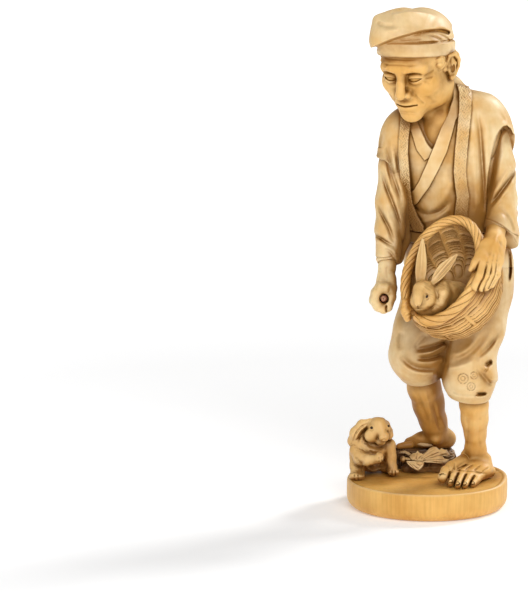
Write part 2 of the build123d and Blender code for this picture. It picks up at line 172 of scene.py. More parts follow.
def along(pts, n, closed=False):
    """n points along a smooth curve through pts."""
    pts = np.asarray(pts, float)
    if closed:
        pts = np.vstack([pts[-2:], pts, pts[:3]])
    else:
        pts = np.vstack([2 * pts[0] - pts[1], pts, 2 * pts[-1] - pts[-2]])
    out = []
    last = len(pts) - (4 if closed else 3)
    first = 2 if closed else 1
    segs = list(range(first, last + (1 if closed else 1)))
    if not closed:
        segs = list(range(1, len(pts) - 2))
    for i in segs:
        p0, p1, p2, p3 = pts[i - 1], pts[i], pts[i + 1], pts[i + 2]
        t = np.linspace(0, 1, 24, endpoint=False)[:, None]
        out.append(0.5 * (2 * p1 + (p2 - p0) * t + (2 * p0 - 5 * p1 + 4 * p2 - p3) * t**2 + (3 * p1 - p0 - 3 * p2 + p3) * t**3))
    out = np.vstack(out + ([] if closed else [pts[-2][None]]))
    if closed:
        out = np.vstack([out, out[:1]])
    s = np.r_[0, np.cumsum(np.linalg.norm(np.diff(out, axis=0), axis=1))]
    q = np.linspace(0, s[-1], n, endpoint=not closed)
    return np.stack([np.interp(q, s, out[:, k]) for k in range(out.shape[1])], 1)


# ------------------------------------------------------------------ value noise
def hash3(i, seed):
    h = (i[:, 0].astype(np.int64) * 374761393 + i[:, 1].astype(np.int64) * 668265263 + i[:, 2].astype(np.int64) * 2147483647 + seed * 1274126177) & 0x7FFFFFFF
    h = ((h ^ (h >> 13)) * 1274126177) & 0x7FFFFFFF
    return ((h ^ (h >> 16)) & 0xFFFF).astype(F4) / 65535.0


def noise(p, scale, seed=0):
    """Smooth noise in -1..1, with features about `scale` mm wide."""
    q = p / scale
    i = np.floor(q)
    f = (q - i).astype(F4)
    f = f * f * (3 - 2 * f)
    i = i.astype(np.int64)
    out = 0.0
    for dx in (0, 1):
        for dy in (0, 1):
            for dz in (0, 1):
                w = (f[:, 0] if dx else 1 - f[:, 0]) * (f[:, 1] if dy else 1 - f[:, 1]) * (f[:, 2] if dz else 1 - f[:, 2])
                out = out + w * hash3(i + np.array([dx, dy, dz]), seed)
    return out * 2 - 1


# ------------------------------------------------------------------ lines drawn as seen from the front
def near(u, v, poly):
    """Distance in pixels, share of the length, and side of the nearest bit of an open polyline."""
    poly = np.asarray(poly, float)
    seg = np.diff(poly, axis=0)
    ln = np.hypot(seg[:, 0], seg[:, 1])
    s0 = np.r_[0, np.cumsum(ln)]
    best = np.full(u.shape, 1e9, F4)
    tt = np.zeros(u.shape, F4)
    sd = np.zeros(u.shape, F4)
    for k in range(len(seg)):
        du, dv = u - poly[k, 0], v - poly[k, 1]
        t = np.clip((du * seg[k, 0] + dv * seg[k, 1]) / (ln[k] ** 2), 0, 1)
        eu, ev = du - t * seg[k, 0], dv - t * seg[k, 1]
        d = np.hypot(eu, ev)
        m = d < best
        best = np.where(m, d, best)
        tt = np.where(m, (s0[k] + t * ln[k]) / s0[-1], tt)
        sd = np.where(m, np.sign(seg[k, 0] * dv - seg[k, 1] * du), sd)
    return best, tt, sd


def inside(u, v, poly):
    """Signed distance in pixels to a closed polygon, negative inside."""
    poly = np.asarray(poly, float)
    d, _, _ = near(u, v, np.vstack([poly, poly[:1]]))
    ins = np.zeros(u.shape, bool)
    n = len(poly)
    for k in range(n):
        (x0, y0), (x1, y1) = poly[k], poly[(k + 1) % n]
        c = (y0 > v) != (y1 > v)
        x = x0 + (v - y0) * (x1 - x0) / (y1 - y0 if y1 != y0 else 1e-9)
        ins ^= c & (u < x)
    return np.where(ins, -d, d)


class Marks:
    """Collects cuts (positive) and swellings (negative), in mm, seen from the front."""

    def __init__(self, u, v, mask=None):
        self.u, self.v = u, v
        self.d = np.zeros(u.shape, F4)
        self.mask = np.ones(u.shape, F4) if mask is None else mask

    def pick(self, poly, m):
        poly = np.asarray(poly, float)
        lo, hi = poly.min(0) - m, poly.max(0) + m
        return np.nonzero((self.u > lo[0]) & (self.u < hi[0]) & (self.v > lo[1]) & (self.v < hi[1]) & (self.mask > 0.01))[0]

    def smooth(self, poly):
        poly = np.asarray(poly, float)
        return along(poly, max(8, 5 * len(poly))) if len(poly) > 2 else poly

    def cut(self, poly, w, depth, ends=(0.25, 0.25), sharp=False):
        """A groove of half-width w pixels."""
        poly = self.smooth(poly)
        i = self.pick(poly, 3.2 * w)
        if len(i) == 0:
            return
        d, t, _ = near(self.u[i], self.v[i], poly)
        e = np.ones_like(t)
        if ends[0]:
            e *= sstep(0, ends[0], t)
        if ends[1]:
            e *= sstep(0, ends[1], 1 - t)
        prof = np.maximum(1 - d / (1.6 * w), 0) ** 1.3 if sharp else np.exp(-((d / w) ** 2))
        self.d[i] += depth * prof * e * self.mask[i]

    def swell(self, poly, w, height, ends=(0.3, 0.3)):
        self.cut(poly, w, -height, ends)

    def fold(self, poly, h, run, ends=(0.2, 0.2), soft=0.7, under=0.0):
        """A lapped edge: raised on the right-hand side of the line, fading over `run` pixels."""
        poly = self.smooth(poly)
        i = self.pick(poly, 3 * run + 4)
        if len(i) == 0:
            return
        d, t, s = near(self.u[i], self.v[i], poly)
        e = np.ones_like(t)
        if ends[0]:
            e *= sstep(0, ends[0], t)
        if ends[1]:
            e *= sstep(0, ends[1], 1 - t)
        sd = d * s
        up = sstep(-soft, soft, sd) * np.exp(-np.maximum(sd, 0) / run)
        val = -h * up
        if under:
            val = val + under * np.exp(-(((sd + soft * 1.3) / (soft * 1.6)) ** 2))
        self.d[i] += val * e * self.mask[i]

    def layer(self, poly, h, soft=0.8):
        """Raises a whole region by h with a crisp edge."""
        sd = inside(self.u, self.v, poly)
        self.d -= h * sstep(soft, -soft, sd) * self.mask


# ------------------------------------------------------------------ meshing
def cells(f, lo, hi, h, slack=0.7, block=4, chunk=400000):
    lo, hi = np.asarray(lo, float), np.asarray(hi, float)
    nb = np.ceil((hi - lo) / (h * block)).astype(int) + 1
    n = nb * block
    step = h * block
    ax = [lo[k] + (np.arange(nb[k]) + 0.5) * step - h * 0.5 for k in range(3)]
    g = np.stack(np.meshgrid(*ax, indexing="ij"), -1).reshape(-1, 3).astype(F4)
    fc = np.concatenate([f(g[i : i + chunk]) for i in range(0, len(g), chunk)])
    act = np.nonzero(np.abs(fc) < step * 0.87 + slack)[0]
    D = np.repeat(np.repeat(np.repeat(np.where(fc < 0, -5.0, 5.0).astype(F4).reshape(nb), block, 0), block, 1), block, 2)
    off = np.stack(np.meshgrid(*[np.arange(block)] * 3, indexing="ij"), -1).reshape(-1, 3)
    bi = np.stack(np.unravel_index(act, nb), 1) * block
    per = max(1, chunk // len(off))
    for i in range(0, len(bi), per):
        idx = (bi[i : i + per, None, :] + off[None]).reshape(-1, 3)
        vals = f((lo + idx * h).astype(F4))
        D[idx[:, 0], idx[:, 1], idx[:, 2]] = vals
    return D, lo


def nets(D, lo, h):
    """Surface nets of a grid of distances: vertices and quads."""
    S = D < 0
    n = np.array(D.shape)
    cnt = np.zeros(n - 1, np.uint8)
    for dx in (0, 1):
        for dy in (0, 1):
            for dz in (0, 1):
                cnt += S[dx : n[0] - 1 + dx, dy : n[1] - 1 + dy, dz : n[2] - 1 + dz]
    act = (cnt > 0) & (cnt < 8)
    c = np.stack(np.nonzero(act), 1)
    vid = np.full(act.shape, -1, np.int32)
    vid[act] = np.arange(len(c))
    corner = np.array([(x, y, z) for x in (0, 1) for y in (0, 1) for z in (0, 1)])
    vals = np.stack([D[c[:, 0] + a[0], c[:, 1] + a[1], c[:, 2] + a[2]] for a in corner], 1)
    acc = np.zeros((len(c), 3))
    num = np.zeros(len(c))
    for i in range(8):
        for j in range(i + 1, 8):
            if np.abs(corner[i] - corner[j]).sum() != 1:
                continue
            a, b = vals[:, i], vals[:, j]
            m = (a < 0) != (b < 0)
            t = np.where(m, a / np.where(m, a - b, 1.0), 0.0)
            acc += (corner[i] + t[:, None] * (corner[j] - corner[i])) * m[:, None]
            num += m
    verts = lo + (c + acc / num[:, None]) * h
    quads = []
    for k in range(3):
        a = [slice(None)] * 3
        b = [slice(None)] * 3
        a[k], b[k] = slice(0, n[k] - 1), slice(1, n[k])
        s0, s1 = S[tuple(a)], S[tuple(b)]
        e = np.stack(np.nonzero(s0 != s1), 1)
        i, j = [q for q in range(3) if q != k]
        ok = (e[:, i] > 0) & (e[:, j] > 0) & (e[:, i] < n[i] - 1) & (e[:, j] < n[j] - 1)
        e = e[ok]
        flip = s0[e[:, 0], e[:, 1], e[:, 2]]
        o = []
        for di, dj in ((1, 1), (0, 1), (0, 0), (1, 0)):
            q = e.copy()
            q[:, i] -= di
            q[:, j] -= dj
            o.append(vid[q[:, 0], q[:, 1], q[:, 2]])
        q = np.stack(o, 1)
        if k == 1:
            flip = ~flip
        q[~flip] = q[~flip][:, ::-1]
        quads.append(q)
    return verts, np.vstack(quads)


def keep_large(verts, quads, least=400):
    """Drops loose crumbs."""
    lab = np.arange(len(verts))
    e = np.vstack([quads[:, [0, 1]], quads[:, [1, 2]], quads[:, [2, 3]], quads[:, [3, 0]]])
    for _ in range(200):
        m = np.minimum(lab[e[:, 0]], lab[e[:, 1]])
        new = lab.copy()
        np.minimum.at(new, e[:, 0], m)
        np.minimum.at(new, e[:, 1], m)
        new = new[new]
        new = new[new]
        if np.array_equal(new, lab):
            break
        lab = new
    cnt = np.bincount(lab, minlength=len(verts))
    ok = cnt[lab] >= least
    if ok.all():
        return verts, quads
    idx = np.cumsum(ok) - 1
    q = quads[ok[quads].all(1)]
    return verts[ok], idx[q]


def grad(f, p, e=0.06):
    g = np.empty((len(p), 3), F4)
    for k in range(3):
        d = np.zeros(3, F4)
        d[k] = e
        g[:, k] = f(p + d) - f(p - d)
    return g / (2 * e)


FIELDS = {}  # name: (distance field, low corner, high corner) for shading between pieces
BUILT = []


def sculpt(name, f, lo, hi, h, settle=2, proxy=None):
    """Meshes a distance field and leaves the result in BUILT."""
    D, lo2 = cells(f, lo, hi, h)
    verts, quads = nets(D, lo2, h)
    verts, quads = keep_large(verts, quads)
    v = verts.astype(F4)
    for _ in range(settle):
        d = f(v)
        g = grad(f, v)
        g2 = np.maximum((g * g).sum(1), 0.15)
        stepv = -(d / g2)[:, None] * g
        ln = np.linalg.norm(stepv, axis=1, keepdims=True)
        v = v + stepv * np.minimum(1.0, 0.6 * h / np.maximum(ln, 1e-9))
    FIELDS[name] = (proxy or f, np.asarray(lo, float), np.asarray(hi, float))
    BUILT.append({"name": name, "v": v, "q": quads, "f": f})
    return v, quads


# ------------------------------------------------------------------ the upper body
OPEN = [(412, 60), (411, 120), (408.8, 139), (408.3, 153), (410, 174), (411, 191.5), (413, 204), (417.6, 216), (424, 226), (426, 300), (455, 300), (454.6, 213), (456.4, 197), (454.6, 186), (453.4, 171.5), (454.6, 150), (456.4, 133), (458.7, 109), (458.7, 92), (455, 80), (450, 60)]
SKIN = [(408, 70), (412, 108), (416.5, 120), (422, 132), (427, 143), (431.7, 149), (434, 146), (441, 127), (448, 113), (453, 98), (453.4, 82), (448, 66)]
ARM_R = [(366, 152), (373, 154), (377, 157.5), (381, 159.5), (385, 160.5), (389, 164), (393, 173), (397, 184), (401, 197), (403.6, 215), (405, 300), (350, 300), (350, 151)]
ARM_L = [(520, 137), (513, 134), (510.5, 128.5), (507.0, 125.6), (503.0, 126.4), (499.4, 130.0), (496.4, 135.5), (493.6, 143.5), (490.6, 156), (488, 174), (486.3, 191.5), (486.3, 209), (486, 230), (540, 230), (540, 136)]
TORSO = [
    (86, 11.6, 8.4, 21.0, 15.6),
    (94, 11.6, 8.2, 21.0, 15.2),
    (100, 10.6, 8.0, 19.6, 15.0),
    (107, 8.6, 7.6, 17.2, 15.0),
    (114, 7.8, 7.0, 17.6, 15.6),
    (122, 7.0, 6.2, 18.6, 16.0),
    (130, 6.4, 5.4, 20.0, 15.4),
    (136, 6.4, 5.0, 20.4, 14.4),
    (141, 7.0, 4.8, 19.6, 13.2),
    (146, 8.0, 5.0, 17.2, 11.8),
    (150, 8.8, 5.2, 14.2, 10.4),
    (153, 9.1, 5.4, 11.6, 9.2),
    (153.8, 9.6, 5.4, 10.2, 7.6),
    (154.8, 9.2, 5.2, 7.4, 5.8),
    (155.6, 9.0, 5.2, 3.8, 3.2),
]
NECK = [(8.2, 4.2, 144), (4.4, 1.6, 153), (1.2, -0.8, 162), (-0.2, -2.0, 167)]
PX = 0.37  # mm a pixel at the figure


def bowl(p):
    """Outside of the basket, as the CAD has it, for things that lie against it."""
    return basket_shape(p)[0]


def body_base(p):
    d = loft(p, TORSO)
    d = np.maximum(d, p[:, 2] - 155.6)
    d = smin(d, egg(p, (-7.2, 1.2, 136.5), (10.2, 9.2, 12.2)), 6.0)
    d = smin(d, egg(p, (19.6, 4.0, 138), (9.4, 9.4, 13.6)), 6.0)
    d = smin(d, egg(p, (4.0, 12.5, 134), (15.0, 9.0, 15.0)), 6.0)
    return d


def torso(p):
    x, y, z = p[:, 0], p[:, 1], p[:, 2]
    u, v = proj(p)
    base = body_base(p)
    fr = sstep(5.0, 0.5, y)
    bk = 1.0 - fr
    hang = 0.10 * noise(p, 7.0, 3)
    # armholes and the front opening, in mm, positive inside them
    arm_f = -PX * np.minimum(inside(u, v, ARM_R), inside(u, v, ARM_L))
    arm_b = -np.maximum(np.minimum(22.8 + 0.06 * (z - 120) - x, x + 11.4 + 0.03 * (z - 120)), z + 0.28 * np.abs(x - 6) - 139.0)
    arm = fr * arm_f + bk * arm_b
    op = inside(u, v, OPEN)
    opening = -(fr * PX * op + bk * 5.0)
    # robe: folds across the waist and the two lapped collars
    tube = smax(chain(p, NECK, [9.4, 8.3, 7.8, 7.8]), plane(p, (8.8, -4.7, 161.2), (0.40, 0.222, 0.889)), 1.8)
    robe = smin(base, tube, 2.4)
    m = Marks(u, v, fr)
    m.cut([(455, 133), (450, 152), (442, 170), (433, 188), (424, 202)], 2.6, 0.25, (0.2, 0.3))
    m.swell([(453, 176), (447, 192), (437, 206), (424, 213)], 5.0, 1.1, (0.2, 0.2))
    m.cut([(413, 206), (425, 214), (440, 211), (452, 199)], 2.6, 0.8, (0.1, 0.3))
    m.swell([(420, 222), (436, 219), (452, 208)], 3.0, 0.6, (0.1, 0.2))
    m.cut([(436, 176), (428, 191), (420, 203)], 2.2, 0.25)
    robe = robe + m.d + hang
    low = PX * inside(u, v, [(412, 105), (416.5, 120), (422, 132), (427, 143), (433, 149), (429, 158), (424.7, 161), (416.5, 150), (411, 132), (400, 120), (400, 105)])
    r2 = np.minimum(robe, smax(robe - 0.55, np.maximum(low, y - 6), 0.3))
    top = PX * inside(u, v, [(450, 66), (453.4, 82), (453, 98), (448, 113), (441, 127), (434, 146), (427, 163), (419, 181), (413.5, 190), (405, 196), (405, 212), (417.6, 203), (429.4, 187), (439, 169), (447, 152), (451.7, 136), (456, 120), (470, 100), (470, 66)])
    r2 = np.minimum(r2, smax(robe - 1.0 * sstep(13.0, 4.0, y), np.maximum(top, y - 15), 0.3))
    mid = Marks(u, v, fr)
    mid.cut([(442.5, 138), (436.5, 153), (429, 169), (420, 186), (413, 196)], 1.1, 0.28, (0.05, 0.05))
    robe = smax(r2, arm - 0.3, 0.3)
    # jacket
    jk = smax(chain(p, NECK, [10.6, 9.0, 8.3, 8.3]), plane(p, (12.8, -3.7, 155.9), (0.13, 0.241, 0.962)), 0.9)
    jk = smin(base, jk, 2.4) - 1.25
    m = Marks(u, v, fr)
    m.cut([(476, 106), (478, 118), (480, 133), (482, 162), (483.4, 186), (484.5, 213)], 2.6, 1.1, (0.25, 0.1))
    m.swell([(486, 112), (487, 124), (487.5, 150), (487, 180)], 3.2, 0.5, (0.3, 0.4))
    m.swell([(473, 122), (473.5, 150), (475.0, 185), (476.5, 212)], 3.2, 0.45, (0.3, 0.1))
    m.cut([(386, 139), (389.5, 158), (395, 178), (401, 196), (405, 215)], 2.6, 0.7, (0.25, 0.0))
    m.cut([(394.5, 136), (397, 152), (398.5, 172), (401, 190)], 2.4, 0.8, (0.45, 0.45))
    m.swell([(389, 136), (392, 154), (395.5, 172)], 2.4, 0.5, (0.3, 0.4))
    m.cut([(497, 108), (503, 118), (506, 124)], 2.4, 0.35, (0.5, 0.3))
    m.cut([(383, 128), (382, 138), (380, 149)], 2.4, 0.4, (0.5, 0.1))
    jk = jk + m.d + hang
    # its edge stands away over the sleeves
    jk = jk - fr * (0.8 + 0.9 * sstep(0.0, -8.0, x)) * np.exp(-np.maximum(-arm_f, 0) / 2.2) * sstep(100, 112, z)
    # back: long hanging folds
    m = Marks(x, z, bk)
    m.cut([(6.5, 146), (6.0, 128), (6.6, 106)], 0.45, 0.55, (0.05, 0.02))
    m.cut([(-6, 140), (-5, 126), (-3, 112), (-2, 104)], 1.2, 0.9, (0.4, 0.05))
    m.cut([(17, 140), (16, 126), (14.5, 112), (13.5, 104)], 1.2, 0.9, (0.4, 0.05))
    m.cut([(-9, 126), (-4, 117), (3, 112)], 1.1, 0.7)
    m.cut([(22, 124), (16, 115), (10, 111)], 1.1, 0.7)
    m.cut([(1.5, 132), (1.2, 120), (2.2, 106)], 1.0, 0.5, (0.4, 0.05))
    m.cut([(11.5, 130), (11.0, 118), (10.4, 106)], 1.0, 0.5, (0.4, 0.05))
    m.swell([(-8.6, 134), (-7.5, 118), (-6, 105)], 1.4, 0.6)
    m.swell([(19.8, 134), (18.6, 118), (17.4, 105)], 1.4, 0.6)
    jk = jk + m.d
    # stippled collar band with a line along its outer side
    lim = 13.0 - 2.6 * sstep(430, 405, u) + 0.0 * v
    bm = fr * PX * np.maximum(-op, op - lim) + bk * 6.0
    bm = np.maximum(bm, PX * (v - 236.0))
    ring = np.maximum(-plane(p, (12.8, -3.7, 154.2), (0.13, 0.241, 0.962)), chain(p, NECK, [10.6, 9.0, 8.3, 8.3]) - 2.0)
    bm = np.minimum(bm, np.maximum(np.maximum(ring, 2.0 - y), x - 9.0))
    pit = np.sin(u * 2.35 + 1.3 * np.sin(v * 0.9)) * np.sin(v * 2.1 + 1.1 * np.sin(u * 0.8))
    band = smax(jk - 0.42 + 0.16 * np.clip(pit, -0.3, 1), bm, 0.25)
    jk = np.minimum(jk, band)
    groove = np.abs(bm) / 0.42
    jk = jk + 0.22 * np.exp(-((np.maximum(bm, -0.05) / 0.42) ** 2)) * (bm > -0.05) * fr
    jk = smax(jk, np.maximum(np.maximum(arm, opening), 103.8 - z - 0.9 * bk), 0.5)
    d = np.minimum(np.minimum(robe, jk), base + 2.4)
    # belt and the skirt below it
    d = np.minimum(d, smax(base - 0.7, np.abs(z - 101.4) - 2.2, 0.4))
    m = Marks(x, z, sstep(99.6, 98.6, z) * sstep(15.5, 11.5, np.abs(x - 10.6)))
    for i, (a, b) in enumerate([(-6, -8), (-2, -3), (3, 2.5), (9, 9.5), (14, 15), (19, 21), (24, 27)]):
        m.cut([(a, 100), ((a + b) / 2, 94), (b, 88)], 0.8, 0.55, (0.05, 0.1))
    d = d + m.d
    m = Marks(u, v, fr)
    m.cut([(507.6, 246), (509.6, 256), (510.2, 268), (509.6, 282)], 1.25, 1.6, (0.3, 0.3))
    d = d + m.d
    # bare chest and the hollow for the neck
    sk = PX * inside(u, v, SKIN)
    d = smax(d, -smax(smax(sk, -(base + 2.0), 0.3), y - 2.0, 0.3), 0.3)
    d = smax(d, -chain(p, NECK, [6.6, 6.8, 6.95, 7.2]), 0.4)
    d = np.maximum(d, -z + 90.0)
    d = np.maximum(d, -(bowl(p) - 0.15))
    return d


# ------------------------------------------------------------------ sleeves
def right_sleeve(p):
    x, y, z = p[:, 0], p[:, 1], p[:, 2]
    u, v = proj(p)
    d = chain(p, [(-12.0, 1.6, 138.5), (-13.0, 0.2, 128), (-14.0, -3.4, 115), (-14.4, -7.8, 105), (-14.9, -12.6, 96)], [5.0, 5.4, 5.6, 5.3, 4.6], 2.0)
    d = smin(d, chain(p, [(-11.4, 5.2, 136), (-12.0, 4.6, 124), (-12.4, 2.0, 111), (-12.2, -2.0, 101), (-11.8, -6.5, 94.5)], [6.0, 6.2, 5.8, 5.0, 2.6], 2.0), 3.0)
    fr = sstep(4.0, -1.0, y + 0.30 * (118 - z) - 0.0)
    fr = np.clip(fr, 0, 1)
    m = Marks(u, v, fr)
    m.cut([(381, 165), (384, 178), (388, 191.5), (395, 209), (400, 227), (401, 240)], 2.3, 1.5, (0.35, 0.45))
    m.cut([(386, 156), (390, 166), (394, 179), (399, 195), (402, 212)], 2.4, 1.4, (0.3, 0.45))
    m.swell([(377, 180), (381, 196), (387, 212), (393, 228)], 3.0, 0.5)
    m.cut([(376, 198), (382.6, 215.5), (390, 231), (395, 248)], 2.2, 1.4, (0.5, 0.4))
    m.swell([(392, 196), (398, 212), (403, 226)], 2.4, 0.55)
    m.cut([(372, 232), (380, 238), (388, 243.6), (398, 249)], 2.0, 1.2, (0.45, 0.45))
    m.swell([(377, 240), (385, 245), (393, 250), (398, 258)], 2.4, 0.6, (0.05, 0.25))
    m.cut([(384, 248), (390, 252), (394, 258), (396, 266)], 1.8, 0.6, (0.5, 0.4))
    m.cut([(386, 158), (390, 176), (396, 196)], 1.6, 0.6, (0.35, 0.35))
    m.cut([(368, 256.6), (377, 257.4), (385, 258.2), (394, 256.4)], 0.8, 0.34, (0, 0.15))
    m.cut([(394, 215), (400, 236), (404, 252)], 2.2, 0.6, (0.5, 0.5))
    d = d + m.d
    mb = Marks(y, z, 1 - fr)
    mb.cut([(8, 132), (6, 120), (3, 108), (0, 98)], 1.1, 0.8)
    mb.cut([(3, 126), (0, 116), (-4, 106), (-8, 98)], 0.9, 0.7)
    mb.swell([(6, 128), (3, 114), (-1, 102)], 1.2, 0.5)
    mb.cut([(10, 112), (4, 107), (-3, 103)], 0.8, 0.6)
    d = d + mb.d
    d = d + 0.10 * noise(p, 6.0, 5)
    cut = plane(p, (-15.0, -13.2, 93.2), (0.10, -0.50, -0.86))
    bag = plane(p, (-11.5, -7.0, 90.0), (0.45, -0.2, -0.86))
    d = smax(d, np.minimum(cut, bag + 40 * sstep(-12.0, -13.4, x)), 0.7)
    d = np.maximum(d, -cone(p, (-14.8, -11.4, 98.0), (-15.2, -15.2, 90.0), 3.35, 3.6))
    d = np.maximum(d, -(body_base(p) + 2.2))
    return d


CUFF_A, CUFF_B = P(485, 226.4, -13.4), P(518.5, 243.6, -4.0)


def left_sleeve(p):
    x, y, z = p[:, 0], p[:, 1], p[:, 2]
    u, v = proj(p)
    d = chain(p, [(23.4, 3.4, 138.4), (25.4, 1.8, 128), (26.6, -1.2, 116), (26.6, -5.4, 106.5), (25.6, -10.0, 100)], [5.8, 5.7, 5.4, 5.2, 4.9], 2.0)
    d = smin(d, chain(p, [(22.6, 7.4, 136), (24.4, 6.6, 124), (26.0, 4.2, 112), (27.6, -0.8, 103), (28.2, -2.6, 98.4)], [6.2, 6.6, 6.0, 5.2, 4.7], 2.0), 3.0)
    d = smin(d, chain(p, [(26.2, -4.6, 112.0), (24.9, -9.6, 107.2), (24.2, -13.2, 103.4)], [4.9, 4.5, 4.2], 1.0), 2.0)
    fr = np.clip(sstep(6.0, 1.0, y + 0.28 * (118 - z)), 0, 1)
    m = Marks(u, v, fr)
    m.cut([(519, 164), (509, 180), (500, 193), (492, 204), (487, 210)], 2.2, 1.2, (0.35, 0.35))
    m.swell([(513, 166), (505, 176), (496, 189), (489, 199)], 3.4, 0.75, (0.1, 0.3))
    m.swell([(515, 181), (507, 191), (499, 202), (491, 211)], 3.0, 0.6, (0.1, 0.3))
    m.cut([(512, 187), (506, 195), (499, 203), (492, 211)], 1.6, 0.35, (0.4, 0.4))
    m.cut([(507, 127), (500, 134), (496, 148), (492.6, 168), (490, 190), (488, 208)], 2.6, 1.1, (0.1, 0.45))
    m.swell([(507, 136), (503, 152), (500, 168), (497, 184)], 3.2, 0.5)
    m.cut([(497, 207), (505, 214), (511, 224), (515, 236)], 2.4, 0.35)
    m.cut([(487, 219), (495, 222), (503, 226.5), (510, 232), (518, 236)], 0.8, 0.25, (0, 0), True)
    d = d + m.d
    mb = Marks(y, z, 1 - fr)
    mb.cut([(10, 134), (9, 122), (6, 110), (2, 101)], 1.1, 0.8)
    mb.cut([(5, 130), (3, 118), (-1, 108)], 0.9, 0.7)
    mb.swell([(7, 130), (6, 116), (2, 104)], 1.2, 0.5)
    mb.cut([(11, 118), (5, 112), (-2, 109)], 0.8, 0.6)
    d = d + mb.d
    d = d + 0.10 * noise(p, 6.0, 6)
    t = unit(CUFF_B - CUFF_A)
    n = np.array([-0.25, -0.62, -0.74])
    n = n - (n @ t) * t
    d = smax(d, plane(p, CUFF_A, n), 0.6)
    d = np.maximum(d, -chain(p, [(26.2, -5.0, 109), (24.9, -11.0, 105.4), (24.2, -16.0, 102.6)], [2.8, 3.35, 3.9]))
    d = np.maximum(d, -(body_base(p) + 2.2))
    d = np.maximum(d, -(bowl(p) - 0.15))
    return d


# ------------------------------------------------------------------ the basket
BM = np.array([4.9, -25.5, 93.3])
BN = unit([-0.158, -0.857, 0.491])
BX = np.array([0.366, 0.411, 0.835])
BX = unit(BX - (BX @ BN) * BN)
BY = np.cross(BN, BX)
RA, RB = 20.8, 13.2
SINK = np.array([4.6, 0.0, -5.4])
SN, SX, SY = SINK @ BN, SINK @ BX, SINK @ BY
BT = np.array([(t + s * SN, s, a, b) for t, s, a, b in ((-14.5, 1.0, RA - 8.4, RB - 2.6), (-9.5, 0.94, RA - 2.6, RB + 2.6), (-4.5, 0.62, RA - 0.2, RB + 3.6), (0.0, 0.0, RA, RB), (3.0, -0.3, RA, RB))])


def basket_local(p):
    q = p - BM.astype(F4)
    return q @ BX.astype(F4), q @ BY.astype(F4), q @ BN.astype(F4)


def basket_shape(p):
    """Distance to the bowl's outside, the angle round it and the depth below the mouth."""
    a, b, t = basket_local(p)
    s = spline(BT[:, 0], BT[:, 1], t).astype(F4)
    ra = spline(BT[:, 0], BT[:, 2], t).astype(F4)
    rb = spline(BT[:, 0], BT[:, 3], t).astype(F4)
    a, b = a - s * SX, b - s * SY
    qa, qb = a / ra, b / rb
    k0 = np.sqrt(qa * qa + qb * qb) + 1e-6
    k1 = np.sqrt((qa / ra) ** 2 + (qb / rb) ** 2) + 1e-9
    side = (k0 - 1.0) * k0 / k1
    side = np.where(k0 < 0.35, (k0 - 1.0) * np.minimum(ra, rb), side)
    bottom = BT[0, 0] - t
    d = smax(smax(side, bottom, 4.0), t - 1.0, 0.3)
    return d, np.arctan2(qb, qa), -t, side


def basket_body(p):
    """Wall woven of fine strands: blocks over the uprights inside, long bundles outside."""
    d, th, dep, side = basket_shape(p)
    a, b, t = basket_local(p)
    out = smax(side, BT[0, 0] - t, 4.0)
    girth = 16.5
    # outside: bundles of five strands, with an upright showing here and there
    rows = (dep + 0.5 * np.sin(2.0 * th + 0.7)) / 3.7
    j = np.floor(rows)
    f = rows - j
    e = np.abs(f - 0.5) * 2
    n = 20.0
    ks = np.round(th * n / (2 * np.pi))
    off = (th * n / (2 * np.pi) - ks) * (2 * np.pi / n) * girth
    gap = ((ks + 2 * j) % 5 == 0) * np.exp(-((off / 1.15) ** 2))
    strand = np.abs(np.sin(np.pi * f * 4.0)) ** 0.7
    relief = 0.40 * (1 - e**4) + 0.46 * strand - 0.95 * gap - 0.25 * e**10 + 0.12 * np.cos(th * n)
    o = out - relief + 0.5
    rod = np.sqrt(off**2 + (out + 1.0) ** 2) - 0.95
    o = np.minimum(o, np.maximum(rod, out - 0.15))
    # inside: short blocks of seven strands that bulge between the uprights
    n2 = 15.0
    c = th * n2 / (2 * np.pi) + 0.35
    k2 = np.floor(c)
    fc = c - k2
    r2 = dep / 5.4 + 0.5 * (k2 % 2) + 0.10 * (fc - 0.5)
    f2 = r2 - np.floor(r2)
    e2 = np.abs(f2 - 0.5) * 2
    ec = np.abs(fc - 0.5) * 2
    st2 = np.abs(np.sin(np.pi * f2 * 6.0)) ** 0.7
    pole = sstep(-5.0, -8.0, side)
    bulge = 0.85 * (1 - ec**2.5) * (1 - 0.75 * e2**5) + 0.46 * st2 * (1 - ec**6)
    bulge = bulge * (1 - pole) + 0.6 * pole
    inn = out + 2.35 + 0.35 - bulge
    shell = np.maximum(o, -(inn))
    shell = np.maximum(shell, t - 0.2)
    return shell * 0.75


def ring_near(p):
    """Nearest point of the rim's centre line: angle, offset outward, offset along the normal."""
    a, b, t = basket_local(p)
    ph = np.arctan2(b / RB, a / RA)
    for _ in range(4):
        c, s = np.cos(ph), np.sin(ph)
        ex, ey = RA * c, RB * s
        tx, ty = -RA * s, RB * c
        g = (a - ex) * tx + (b - ey) * ty
        h = tx * tx + ty * ty + (a - ex) * ex + (b - ey) * ey
        ph = ph + np.clip(g / np.maximum(h, 30.0), -0.3, 0.3)
    c, s = np.cos(ph), np.sin(ph)
    nx, ny = c / RA, s / RB
    nn = np.sqrt(nx * nx + ny * ny)
    return ph, ((a - RA * c) * nx + (b - RB * s) * ny) / nn, t


PH = np.linspace(-np.pi, np.pi, 721)
PHS = np.r_[0, np.cumsum(np.hypot(np.diff(RA * np.cos(PH)), np.diff(RB * np.sin(PH))))]


